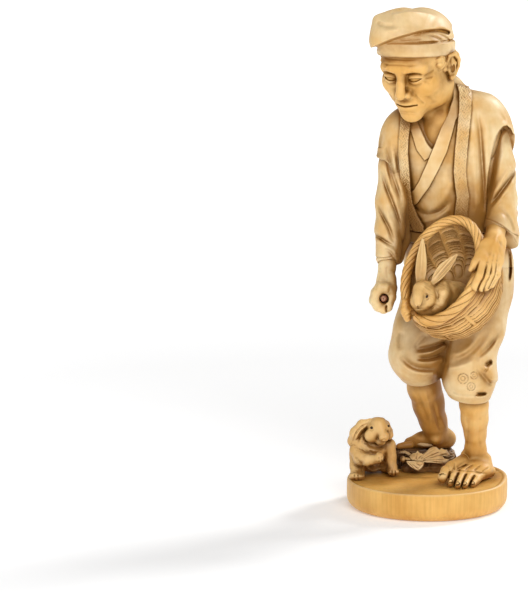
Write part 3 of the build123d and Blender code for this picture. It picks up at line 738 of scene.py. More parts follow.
def rope(p, lo, hi, r0, lay, strands, deep, lift=0.0, out=0.0, taper=(0.2, 0.2), shrink=(0.6, 0.6)):
    """Twisted rope on the rim between two angles."""
    ph, o, t = ring_near(p)
    ph = (ph - lo) % (2 * np.pi) + lo
    over = np.where(ph > hi, np.minimum(ph - hi, lo + 2 * np.pi - ph), 0.0) * 16.0
    e = np.minimum(sstep(0, taper[0], ph - lo) * (1 - shrink[0]) + shrink[0], sstep(0, taper[1], hi - ph) * (1 - shrink[1]) + shrink[1])
    r = r0 * np.where(ph > hi, min(shrink), e)
    o, t = o - out, t - lift
    rho = np.sqrt(o * o + t * t)
    psi = np.arctan2(t, o)
    s = np.interp((ph + np.pi) % (2 * np.pi) - np.pi, PH, PHS).astype(F4)
    x = strands * (psi / 2.0 + np.pi * s / lay)
    lobe = np.abs(np.cos(x))
    fine = np.abs(np.cos(3 * x))
    rr = r * (1.0 - deep + deep * lobe**0.7) + 0.07 * fine
    return np.sqrt(np.maximum(rho - rr, 0) ** 2 + over**2) + np.minimum(rho - rr, 0) * (over <= 0)


KNOB = P(406.5, 314, -31.5)


def basket_rim(p):
    d = rope(p, math.radians(-75), math.radians(158), 1.75, 20.0, 6, 0.17, 0.0, -0.9, (0.3, 0.3), (0.8, 0.85))
    d = np.minimum(d, rope(p, math.radians(168), math.radians(305), 2.05, 23.0, 4, 0.24, 0.3, -0.2, (0.35, 0.3), (0.55, 0.8)))
    k = chain(p, [P(405.5, 303, -31.0), P(405.6, 311, -32.2), P(407.5, 318, -32.0)], [1.6, 2.0, 1.5])
    k = k + 0.16 * np.abs(np.sin(2.2 * (p[:, 2] - 0.6 * p[:, 0])))
    return smin(d, k, 0.5)


# ------------------------------------------------------------------ trousers
HEM_R, HEM_RN = np.array([-1.8, 5.0, 49.6]), np.array([0.10, 0.45, -0.88])
HEM_L, HEM_LN = np.array([15.6, -3.0, 41.9]), np.array([-0.08, 0.2, -0.98])


def trousers(p):
    x, y, z = p[:, 0], p[:, 1], p[:, 2]
    u, v = proj(p)
    r = chain(p, [(2.6, 6.0, 82.0), (-1.8, 0.4, 66.5), (-3.7, -0.2, 57.4), (-2.2, 4.6, 48.6)], [11.8, 10.7, 10.3, 7.5], 3.0)
    l = chain(p, [(18.8, 6.0, 82.0), (17.1, 1.5, 68.0), (15.4, -2.6, 57.0), (15.3, -3.8, 50.0), (16.2, -3.0, 42.4)], [13.0, 11.0, 9.1, 9.5, 7.0], 3.0)
    r = smax(r, plane(p, HEM_R, HEM_RN), 0.9)
    l = smax(l, plane(p, HEM_L, HEM_LN), 0.9)
    d = smin(r, l, 2.2)
    d = smin(d, egg(p, (11.6, 7.6, 86.0), (21.0, 15.4, 13.0)), 4.0)
    d = smax(d, x - 31.7, 1.4)
    # the gathered cloth that the basket rests against
    d = smin(d, chain(p, [(9.0, -2.0, 84.0), (8.6, -12.0, 84.0), (8.2, -18.0, 85.0)], [8.5, 7.0, 5.0], 2.0), 3.0)
    fr = sstep(2.5, -2.0, y - 3.5 + 0.17 * (82 - z))
    m = Marks(u, v, fr)
    # right thigh and the gathered cloth above the calf
    m.cut([(412, 352), (420, 349), (429, 347), (443, 343)], 2.4, 0.9, (0.3, 0.0))
    m.cut([(415, 359.5), (421, 358.6), (429, 358), (437, 355.5), (444, 350)], 2.8, 1.4, (0.3, 0.3))
    m.swell([(414, 354.6), (424, 353.4), (434, 351), (444, 346)], 2.0, 1.0, (0.3, 0.0))
    m.cut([(403, 348), (404.5, 356), (409, 363), (418, 367.5), (429, 368.5), (441, 367)], 3.6, 1.2, (0.35, 0.3))
    m.swell([(410, 361), (420, 362.5), (432, 362), (441, 360)], 2.6, 0.7, (0.3, 0.0))
    m.swell([(396, 350), (398, 359), (405, 367), (415, 372.5), (428, 374), (438, 373)], 2.8, 0.7, (0.3, 0.1))
    m.cut([(402, 330), (400, 341), (401, 352)], 3.0, 0.5)
    m.cut([(428, 332), (420, 341), (414, 350)], 3.0, 0.7)
    # left leg
    m.cut([(447, 361), (457, 360), (467, 355), (476, 347), (484, 336), (491, 322)], 4.0, 1.0, (0.3, 0.4))
    m.swell([(446, 368), (457, 367), (468, 363.5), (478, 357)], 2.8, 0.7, (0.1, 0.3))
    m.swell([(450, 355), (461, 353), (471, 346), (479, 335)], 3.0, 0.5, (0.2, 0.3))
    m.cut([(472, 362), (481, 354), (489, 346), (496, 336), (502, 322)], 3.2, 0.8, (0.35, 0.45))
    m.swell([(478, 360), (487, 354), (494, 346), (499, 336)], 2.2, 0.6, (0.2, 0.3))
    m.cut([(476, 366.5), (481, 374), (488, 382), (493, 387)], 2.6, 0.8, (0.35, 0.25))
    m.swell([(486, 369), (493, 375.5), (494, 383)], 4.2, 1.1, (0.2, 0.2))
    m.swell([(447, 392), (456, 396.5), (470, 398), (484, 396)], 2.6, 0.45, (0.15, 0.15))
    m.cut([(483.5, 366.0), (487.0, 364.4), (490.6, 362.0), (493.0, 361.0)], 2.2, 1.5, (0.35, 0.35))
    m.swell([(482.0, 369.0), (487.0, 367.6), (492.0, 365.6)], 1.8, 0.30, (0.3, 0.3))
    m.cut([(474.0, 393.6), (479, 394.0), (484, 393.6), (488.0, 392.6)], 1.6, 1.3, (0.4, 0.4))
    m.swell([(474.0, 396.6), (480, 397.0), (487, 395.6)], 1.4, 0.5, (0.2, 0.2))
    m.cut([(509.4, 254), (510.2, 268), (509.4, 278), (508.2, 284)], 1.25, 1.6, (0.1, 0.35))
    m.cut([(463, 385), (466, 377), (472, 366)], 2.4, 0.2)
    d = d + m.d
    for cu, cv, cr in ((463, 378.5, 5.0), (474, 375.4, 3.5), (471, 386.5, 4.0)):
        i = np.nonzero((np.abs(u - cu) < 9) & (np.abs(v - cv) < 9) & (fr > 0.5))[0]
        if len(i):
            rr = np.hypot(u[i] - cu, v[i] - cv)
            d[i] += 0.26 * np.exp(-(((rr - cr) / 0.62) ** 2)) + 0.22 * np.exp(-(((rr - cr * 0.42) / 0.6) ** 2))
    # sides and back
    m = Marks(x, z, 1.0 - fr)
    m.cut([(11, 92), (10.6, 78), (10.2, 66)], 0.9, 1.2, (0.3, 0.1))
    m.cut([(-6, 64), (0, 60), (6, 60)], 0.9, 1.0)
    m.cut([(-9, 58), (-3, 54.5), (4, 54)], 0.9, 1.1)
    m.swell([(-8, 61), (-1, 57.5), (5, 57)], 1.1, 0.7)
    m.cut([(22, 60), (16, 55), (9, 54)], 0.9, 1.0)
    m.cut([(22, 53), (16, 49), (9, 48)], 0.9, 1.0)
    m.swell([(22, 57), (16, 52), (9, 51)], 1.1, 0.7)
    m.cut([(-4, 90), (-5, 80), (-3, 70)], 1.0, 0.8)
    m.cut([(26, 90), (25, 80), (22, 69)], 1.0, 0.8)
    m.cut([(3, 76), (-2, 71), (-8, 69)], 0.9, 0.8)
    m.cut([(18, 76), (22, 71), (27, 70)], 0.9, 0.8)
    d = d + m.d
    d = d + 0.12 * noise(p, 7.0, 8)
    d = np.maximum(d, -cone(p, (-2.3, 4.7, 51.5), (-1.0, 7.8, 44.0), 6.25, 6.4))
    d = np.maximum(d, -cone(p, (16.6, -3.0, 44.0), (16.8, -2.2, 37.0), 5.45, 5.6))
    d = np.maximum(d, z - 93.5)
    d = np.maximum(d, -(bowl(p) - 0.15))
    return d


# ------------------------------------------------------------------ legs and feet
def right_leg(p):
    z = p[:, 2]
    u, v = proj(p)
    d = chain(p, [(-2.2, 4.8, 50.5), (-1.4, 7.4, 43.5), (0.2, 10.6, 36.5), (2.1, 13.6, 29.5), (3.7, 15.6, 24.0)], [6.0, 6.0, 5.5, 4.9, 4.4], 2.0)
    d = smin(d, egg(p, (0.6, 11.6, 37.5), (4.8, 5.4, 9.0)), 2.5)
    d = smin(d, egg(p, (6.8, 18.0, 21.6), (4.1, 3.6, 3.9)), 2.4)
    foot = chain(p, [(3.0, 16.8, 21.8), (-2.0, 17.0, 21.0), (-6.6, 17.2, 19.9)], [3.6, 3.1, 2.2], 1.5)
    d = smin(d, foot, 2.2)
    d = smin(d, ball(p, (3.4, 11.9, 22.2), 1.6), 2.0)
    d = smin(d, ball(p, (2.6, 20.2, 22.0), 1.6), 2.0)
    for k, (dy, r) in enumerate(((-2.6, 1.35), (-0.9, 1.0), (0.6, 0.95), (2.0, 0.9), (3.2, 0.85))):
        d = smin(d, chain(p, [(-6.2 + 0.25 * k, 17.2 + dy, 19.8), (-8.8 + 0.5 * k, 17.2 + dy * 1.1, 19.6), (-10.4 + 0.7 * k, 17.2 + dy * 1.15, 19.2)], [r * 1.05, r, r * 0.95]), 0.5)
    fr = sstep(18.0, 13.0, p[:, 1] - 0.55 * (30 - z))
    m = Marks(u, v, fr)
    m.cut([(416, 386), (420, 400), (425, 414), (428, 424)], 2.2, 0.35)
    m.swell([(424, 384), (427, 398), (430, 412), (431, 426), (426, 436)], 2.0, 0.35)
    m.cut([(433, 400), (436, 414), (439, 426), (443, 434)], 2.0, 0.45)
    m.swell([(441, 412), (444, 424), (449, 432)], 2.0, 0.3)
    d = d + m.d + 0.06 * noise(p, 4.0, 11)
    return np.maximum(d, 18.5 - z)


TOES = [
    # metatarsal base, knuckle, middle, tip (pixel and depth), radii
    ((464, 456, 1.5), (452.0, 464, -5.5), (446.5, 470.0, -9.5), (442.8, 477.5, -12.6), (2.8, 2.35, 2.2, 2.0)),
    ((467, 459, 0.5), (455.0, 469, -7.0), (452.6, 476, -11.5), (450.6, 483.0, -14.4), (2.4, 1.75, 1.65, 1.4)),
    ((475, 460, 0.5), (462.6, 470, -7.5), (459.8, 478, -13.0), (457.6, 485, -16.6), (2.4, 1.7, 1.6, 1.38)),
    ((483, 461, 1.0), (470.4, 471, -7.5), (467.2, 478.5, -12.5), (464.6, 485, -16.2), (2.4, 1.65, 1.55, 1.34)),
    ((490, 466, 2.0), (479.5, 473, -5.4), (475.8, 479, -10.4), (472.4, 484.6, -13.6), (2.2, 1.6, 1.5, 1.3)),
]


def left_leg(p):
    z = p[:, 2]
    u, v = proj(p)
    d = chain(p, [(16.7, -3.0, 44.0), (17.2, -1.6, 39.0), (17.6, 0.2, 33.0), (17.9, 2.2, 27.0), (18.0, 3.6, 21.0), (18.3, 4.2, 17.0)], [5.1, 5.1, 4.5, 3.75, 3.7, 4.3], 2.0)
    d = smin(d, egg(p, (17.4, 2.0, 34.5), (4.3, 4.6, 8.0)), 2.5)
    d = smin(d, egg(p, (19.8, 8.6, 14.0), (4.4, 4.4, 4.2)), 2.4)
    d = smin(d, egg(p, (18.4, 0.8, 13.6), (6.2, 7.6, 4.1)), 2.0)
    d = smin(d, egg(p, (13.8, -6.0, 12.4), (6.8, 5.8, 2.9)), 1.6)
    d = smin(d, ball(p, (14.0, 3.6, 18.4), 1.5), 1.8)
    d = smin(d, chain(p, [(22.5, 4.4, 17.2), (22.7, 3.0, 13.4)], [1.4, 1.7]), 1.8)
    t = None
    for base, kn, mid, tip, rr in TOES:
        q = [P(*base) + np.array([0, 0.6, -2.2]), P(*kn) - np.array([0, 0, 1.2]), P(*mid) - np.array([0, 0, 0.6]), P(*tip)]
        e = smin(cone(p, q[0], q[1], rr[0], rr[1]), chain(p, q[1:], rr[1:], 0.5), 0.5)
        # nail
        n = q[3] + np.array([-0.1, -0.75, 0.75])
        nail = egg(p, n, (0.85 * rr[3] / 1.4, 0.55, 0.8))
        e = np.maximum(e, -(np.abs(nail) - 0.11))
        t = e if t is None else smin(t, e, 0.22)
    d = smin(d, t, 0.45)
    fr = sstep(8.0, 3.0, p[:, 1])
    m = Marks(u, v, fr)
    # cuts between the toes and along the tendons of the instep
    m.cut([(450.2, 470.0), (448.6, 477), (446.6, 485.5)], 1.0, 0.55, (0.2, 0.0))
    m.cut([(459.4, 471.5), (456.4, 479), (454.2, 487.5)], 0.9, 0.55, (0.2, 0.0))
    m.cut([(467.4, 472.5), (463.6, 480), (461.2, 488)], 0.9, 0.55, (0.2, 0.0))
    m.cut([(475.6, 474.0), (471.6, 480.5), (468.6, 487.5)], 0.9, 0.55, (0.2, 0.0))
    m.cut([(454.0, 470.0), (463, 471.4), (472, 471.8), (480, 473), (488.5, 474)], 0.9, 0.26, (0.1, 0.2))
    m.cut([(456.6, 469.6), (464, 466.2), (471.4, 463.2)], 0.85, 0.34, (0.1, 0.4))
    m.cut([(465.0, 470.4), (470, 467.0), (474.6, 463.2)], 0.85, 0.34, (0.1, 0.4))
    m.cut([(474.0, 471.0), (478, 467.6), (482, 464.8)], 0.85, 0.34, (0.1, 0.4))
    m.cut([(482.0, 472.4), (486, 469.2), (490, 466.6)], 0.85, 0.30, (0.1, 0.4))
    m.cut([(454.4, 461.0), (454.7, 465.0), (453.8, 470.0)], 0.8, 0.28, (0.4, 0.1))
    m.cut([(449.2, 464.0), (448.8, 467.0), (449.6, 471.0)], 0.8, 0.26, (0.4, 0.1))
    m.swell([(472, 406), (473.5, 420), (474, 436), (472, 450)], 1.8, 0.35)
    m.cut([(467, 408), (468, 422), (468.5, 438), (466.5, 452)], 1.8, 0.35)
    m.cut([(480, 410), (479.5, 424), (479, 440), (481, 452)], 1.6, 0.3)
    d = d + m.d + 0.05 * noise(p, 4.0, 12)
    return np.maximum(d, 10.05 - z)


# ------------------------------------------------------------------ hands
def left_hand(p):
    u, v = proj(p)
    w0, w1, w2 = np.array([26.2, -5.0, 109.0]), P(496.6, 231.0, -11.6), P(494.4, 243.5, -17.6)
    d = chain(p, [w0, w1, w2], [2.6, 2.95, 2.8], 1.5)
    # back of the hand, widening to the row of knuckles
    kn = [P(483.0, 261.0, -28.0), P(489.8, 260.5, -27.4), P(494.4, 260.5, -26.2), P(498.4, 261.5, -24.4)]
    md = [P(480.2, 275.5, -31.8), P(487.4, 276.2, -32.2), P(492.3, 275.6, -31.4), P(496.8, 274.2, -29.6)]
    tp = [P(474.8, 286.8, -32.2), P(481.2, 288.0, -32.4), P(486.2, 287.4, -31.6), P(491.6, 284.6, -30.0)]
    rr = [(2.25, 2.05, 1.65), (1.60, 1.55, 1.36), (1.55, 1.50, 1.32), (1.55, 1.45, 1.25)]
    wrist = [P(491.0, 240.6, -18.6), P(494.4, 240.6, -17.6), P(497.6, 241.2, -16.4), P(500.4, 242.5, -15.0)]
    for k in range(4):
        d = smin(d, cone(p, wrist[k], kn[k], 2.0, rr[k][0] + 0.25), 2.2)
    d = smin(d, chain(p, [P(494.6, 228.5, -11.4), P(491.2, 238.0, -16.8), P(487.4, 248.0, -22.4)], [2.5, 2.5, 2.3]), 2.6)
    d = smin(d, egg(p, P(488.6, 252.0, -23.2), (4.6, 2.6, 4.8)), 2.4)
    d = smin(d, chain(p, [P(494, 243, -16.6), P(488.5, 256, -24.2), P(486, 272, -28.4)], [3.0, 3.4, 2.6]), 1.4)
    # fingers lying side by side, bent at the middle joint
    fing = None
    for k in range(4):
        e = smin(cone(p, kn[k], md[k], rr[k][0], rr[k][1]), cone(p, md[k], tp[k], rr[k][1], rr[k][2]), 0.6)
        fing = e if fing is None else smin(fing, e, 0.25)
    for k in range(3):
        web = [(a[k] + a[k + 1]) / 2 + np.array([0, 0.5, 0.0]) for a in (kn, md, tp)]
        fing = smin(fing, chain(p, web, [1.6, 1.45, 1.15]), 0.4)
    d = smin(d, fing, 1.4)
    th = chain(p, [P(487.0, 246.0, -22.4), P(480.4, 255.0, -27.0), P(475.4, 263.0, -29.8), P(471.2, 269.6, -30.2)], [2.3, 1.95, 1.55, 1.1], 0.8)
    d = smin(d, th, 1.2)
    m = Marks(u, v)
    # tendons, the lines between the fingers, knuckle creases and nails
    m.swell([(498, 232), (495, 243), (490, 255)], 2.4, 0.35, (0.2, 0.3))
    m.cut([(501, 234), (499.4, 246), (498.2, 257)], 2.0, 0.22, (0.4, 0.4))
    for a, b, c in (((490.6, 251.0), (488.4, 257.0), (487.0, 264)), ((494.4, 250.0), (493.0, 256.0), (492.2, 262)), ((498.2, 251.0), (497.2, 256.5), (496.4, 262))):
        m.cut([a, b, c], 1.2, 0.20, (0.6, 0.1))
    m.cut([(487.6, 258), (486.0, 268), (483.6, 277), (480.2, 283.0), (477.6, 290)], 0.8, 0.28, (0.4, 0))
    m.cut([(492.4, 257), (491.4, 267), (489.6, 276), (486.4, 282.0), (483.2, 290)], 0.8, 0.40, (0.4, 0))
    m.cut([(496.6, 257), (495.8, 267), (494.4, 275.4), (491.8, 281.0), (488.4, 288)], 0.8, 0.40, (0.4, 0))
    m.cut([(481.6, 257), (478.2, 264), (475.6, 272), (472.0, 280)], 0.9, 0.40, (0.4, 0.2))
    for (a, b) in ((480.2, 276.2), (487.4, 277.0), (492.3, 276.4), (496.8, 275.0)):
        m.cut([(a - 2.4, b - 0.8), (a, b), (a + 2.4, b - 0.6)], 0.7, 0.08, (0.3, 0.3))
    d = d + m.d + 0.04 * noise(p, 3.0, 15)
    return d


def right_hand(p):
    u, v = proj(p)
    d = chain(p, [(-14.8, -11.4, 98.0), (-15.2, -14.6, 92.5), (-15.8, -16.4, 87.4)], [3.3, 3.05, 3.4], 1.2)
    c = P(384, 298.5, -22.5)
    ax = unit([0.05, -1.0, 0.12])
    e1 = unit(np.cross([0, 0, 1.0], ax)) * -1.0
    e2 = np.cross(ax, e1) * -1.0
    if e2[2] < 0:
        e2 = -e2
    if e1[0] < 0:
        e1 = -e1
    d = smin(d, egg(p, c - ax * 5.2 + e2 * 1.0, (4.0, 5.0, 4.8)), 1.5)
    fing = None
    for k, (off, R, r) in enumerate(((0.4, 3.35, 1.95), (-2.9, 3.5, 2.0), (-6.0, 3.2, 1.85), (-8.7, 2.8, 1.7))):
        pts = []
        for a in (75, 110, 150, 190, 230, 268, 300):
            t = math.radians(a)
            rad = R * (1.06 if a in (110, 190) else 1.0)
            pts.append(c + ax * off + e1 * (rad * math.cos(t) * 0.92) + e2 * (rad * math.sin(t) * 1.12))
        e = chain(p, pts, [r * 1.1, r * 1.1, r, r * 1.02, r * 0.96, r * 0.9, r * 0.8], 0.3)
        fing = e if fing is None else smin(fing, e, 0.5)
    d = smin(d, fing, 0.9)
    th = chain(p, [P(390.4, 279, -17.5), P(391.6, 288, -20.5), P(391.2, 297, -23.4), P(389.6, 304.2, -24.6)], [2.2, 2.0, 1.8, 1.45], 0.6)
    d = smin(d, th, 1.2)
    m = Marks(u, v, sstep(-12, -16, p[:, 1]))
    m.cut([(389.6, 282), (389.4, 291), (388.6, 299)], 1.6, 0.20, (0.4, 0.4))
    m.cut([(386.4, 311), (386.2, 307.5), (386.8, 304.0)], 0.9, 0.6, (0.0, 0.4))
    m.cut([(379, 283), (377, 287), (376.5, 291)], 1.4, 0.25)
    m.cut([(380, 266), (380.5, 274), (379, 281)], 1.5, 0.25)
    m.cut([(387, 265), (387, 273), (388, 280)], 1.5, 0.25)
    d = d + m.d + 0.04 * noise(p, 3.0, 16)
    hole = cone(p, c - ax * 5.0, c + ax * 8.0, 1.72, 1.72)
    d = smax(d, -hole, 0.35)
    return d


def held_stick_stub(p):
    c = P(384, 298.5, -22.5)
    ax = unit([0.05, -1.0, 0.12])
    d = cone(p, c - ax * 5.0, c + ax * 2.0, 1.5, 1.42)
    d = smax(d, plane(p, c + ax * 1.0, ax + np.array([0.15, 0, 0.1])), 0.5)
    q = p - (c + ax * 1.0).astype(F4)
    rad = np.sqrt(np.maximum((q * q).sum(1) - (q @ ax.astype(F4)) ** 2, 0))
    return d + 0.10 * np.cos(rad * 5.2) + 0.06 * noise(p, 0.8, 17)


# ------------------------------------------------------------------ head
HC = np.array([-4.6, -7.6, 166.6])
HL = unit([0.883, -0.469, 0.0])
HF = unit([-0.446, -0.840, -0.309])
HU = np.cross(HL, HF)
if HU[2] < 0:
    HU = -HU
HM = np.stack([HL, HF, HU]).astype(F4)


def head_local(p):
    return (p - HC.astype(F4)) @ HM.T


def H(lx, ly, lz):
    return HC + HL * lx + HF * ly + HU * lz


def head(p):
    q = head_local(p)
    lx, ly, lz = q[:, 0], q[:, 1], q[:, 2]
    s = q.copy()
    s[:, 0] = np.abs(lx)  # the face is built on one side and mirrored
    ax = s[:, 0]
    d = egg(q, (0, -1.5, 4.0), (12.4, 15.2, 14.2))
    d = smin(d, chain(p, NECK, [5.8, 6.0, 6.2, 6.0]), 2.0)
    d = smin(d, egg(q, (0, 2.6, -7.0), (10.2, 10.6, 11.6)), 4.0)
    d = smin(d, egg(s, (6.9, 7.6, -4.6), (3.9, 3.7, 3.4)), 4.0)
    d = smin(d, egg(s, (8.6, 1.0, -10.0), (2.6, 5.0, 4.6)), 4.0)
    d = smin(d, chain(s, [(0, 12.9, 2.7), (3.2, 12.7, 3.0), (7.4, 10.6, 2.3)], [1.9, 2.1, 1.8]), 3.0)
    d = smin(d, egg(q, (0, 9.4, -11.2), (5.2, 4.0, 4.6)), 3.0)
    d = smin(d, egg(q, (0, 9.8, -16.2), (3.8, 3.2, 3.0)), 3.0)
    # eyes
    d = smax(d, -egg(s, (4.8, 14.6, -0.9), (3.3, 2.9, 2.2)), 1.8)
    eye = ball(s, (4.8, 10.3, -1.0), 2.95)
    t = np.clip(1.0 - ((ax - 4.8) / 2.75) ** 2, 0, 1)
    gap = np.abs(lz + 1.15 - 0.10 * (ax - 4.8)) - 0.72 * t**0.8
    lids = smax(ball(s, (4.8, 10.3, -1.0), 3.45), -np.maximum(gap, 10.3 - ly), 0.25)
    d = smin(d, lids, 0.7)
    d = np.minimum(d, eye)
    d = d + 0.30 * np.exp(-(((lz - 1.25 + 0.07 * (ax - 4.8) ** 2) / 0.42) ** 2)) * sstep(3.4, 2.2, np.abs(ax - 4.8)) * sstep(8, 10, ly)
    d = d + 0.16 * np.exp(-(((lz + 3.6 - 0.10 * (ax - 4.4) ** 2) / 0.45) ** 2)) * sstep(3.4, 1.8, np.abs(ax - 4.4)) * sstep(8, 10, ly)
    # brows
    br = chain(s, [(2.0, 14.3, 2.5), (4.6, 13.9, 3.3), (7.8, 11.6, 2.5)], [0.5, 0.75, 0.4])
    br = br + 0.10 * np.sin(3.2 * (ax + 0.6 * lz))
    d = smin(d, br, 0.8)
    # nose
    nose = chain(q, [(0, 12.6, 2.0), (0, 14.4, -2.4), (0, 15.9, -6.2)], [1.3, 1.45, 1.9], 1.0)
    nose = smin(nose, egg(s, (2.0, 13.6, -6.9), (1.4, 1.9, 1.35)), 0.9)
    d = smin(d, nose, 1.4)
    d = smax(d, -egg(s, (1.15, 15.4, -8.35), (0.62, 0.95, 0.55)), 0.4)
    d = d + 0.22 * np.exp(-(((ax - 3.25) / 0.45) ** 2 + ((lz + 6.7) / 1.3) ** 2)) * sstep(9, 11, ly)
    # mouth
    up = chain(s, [(0, 13.0, -10.55), (1.5, 12.95, -10.35), (4.1, 11.0, -11.35)], [0.95, 0.95, 0.45])
    lowl = chain(s, [(0, 12.7, -12.55), (2.0, 12.25, -12.4), (3.9, 10.9, -11.7)], [1.15, 1.0, 0.4])
    d = smin(d, smin(up, lowl, 0.25), 0.9)
    d = d + 0.55 * np.exp(-(((lz + 11.45 + 0.10 * np.cos(ax * 0.9)) / 0.26) ** 2)) * sstep(4.7, 3.9, ax) * sstep(8, 9.5, ly)
    d = d + 0.20 * np.exp(-((lx / 0.55) ** 2)) * np.exp(-(((lz + 9.2) / 0.8) ** 2)) * sstep(8, 10, ly)
    d = d + 0.28 * np.exp(-(((lz + 14.3 + 0.05 * ax**2) / 0.8) ** 2)) * sstep(4.0, 2.0, ax) * sstep(6, 8, ly)
    # soft folds beside the nose, cheek hollows, forehead lines
    for a, b, w, h in (((3.4, -6.4), (6.2, -12.2), 0.55, 0.32), ((7.2, -8.0), (8.2, -13.0), 0.9, 0.25), ((7.9, -0.4), (10.4, 0.6), 0.35, 0.14), ((7.9, -1.2), (10.4, -1.6), 0.35, 0.14), ((7.7, -2.1), (9.8, -3.6), 0.35, 0.12)):
        e, tt, _ = near(ax, lz, [a, b])
        d = d + h * np.exp(-((e / w) ** 2)) * sstep(0, 0.25, tt) * sstep(1.0, 0.75, tt) * sstep(2, 5, ly)
    for k, z0 in enumerate((5.0, 6.7)):
        d = d + 0.16 * np.exp(-(((lz - z0 + 0.012 * ax**2) / 0.32) ** 2)) * sstep(7.5, 5.0, ax) * sstep(6, 9, ly)
    # neck
    nk = chain(p, [H(1.6, -5.0, -7.0), (3.6, 0.8, 154.6), (7.8, 3.8, 145.5)], [6.5, 6.6, 7.1], 1.0)
    nk = smin(nk, cone(p, H(9.6, -3.0, -9.0), (3.6, -4.8, 145.0), 1.7, 1.5), 2.2)
    nk = smin(nk, cone(p, H(-9.6, -3.0, -9.0), (2.4, -5.4, 145.0), 1.7, 1.5), 2.2)
    nk = smin(nk, cone(p, H(0.5, 3.0, -17.0), (3.6, -5.5, 147.0), 2.4, 2.2), 2.5)
    nk = smin(nk, egg(p, (4.6, -3.4, 140.0), (8.2, 4.3, 9.0)), 3.0)
    nk = np.maximum(nk, 136.0 - p[:, 2])
    d = smin(d, nk, 2.5)
    # ears
    base = egg(s, (12.3, -1.8, -1.2), (1.5, 2.6, 4.2))
    hel = chain(s, [(12.2, 0.8, 0.4), (13.0, -0.4, 2.9), (13.9, -2.6, 3.0), (14.4, -4.2, 0.6), (14.1, -4.0, -2.2), (13.2, -2.4, -4.6), (12.6, -0.8, -5.4)], [0.6, 0.75, 0.8, 0.8, 0.75, 0.8, 1.1], 0.3)
    plate = egg(s, (13.0, -2.4, -0.8), (0.8, 2.6, 3.9), np.stack([unit([1, -0.35, 0]), unit([0.35, 1, 0]), [0, 0, 1]]))
    anti = chain(s, [(13.2, -2.0, 1.4), (13.7, -2.9, -0.6), (13.2, -2.0, -3.0)], [0.5, 0.55, 0.5], 0.2)
    trag = egg(s, (12.5, 0.5, -2.0), (0.8, 0.6, 1.0))
    ear = smin(smin(smin(base, plate, 0.6), smin(hel, anti, 0.2), 0.4), trag, 0.5)
    ear = smax(ear, -egg(s, (13.5, -0.9, -1.8), (1.0, 1.0, 1.5)), 0.5)
    d = smin(d, ear, 0.7)
    # hair at the temples and below the cloth
    hair = egg(s, (10.9, 3.4, 2.6), (1.9, 2.6, 3.2))
    hair = smin(hair, egg(s, (11.4, 1.6, 0.2), (1.3, 1.5, 2.8)), 0.8)
    hair = smin(hair, egg(q, (0, -11.8, -3.6), (9.6, 4.4, 5.0)), 2.0)
    hair = smin(hair, egg(s, (9.2, -8.2, -2.4), (3.0, 4.4, 4.6)), 2.0)
    curl = np.sin(2.6 * lz + 1.6 * np.sin(1.9 * ly + lx) + 1.2 * ly) * 0.18
    d = smin(d, hair + curl, 0.5)
    return d + 0.03 * noise(p, 3.0, 21)


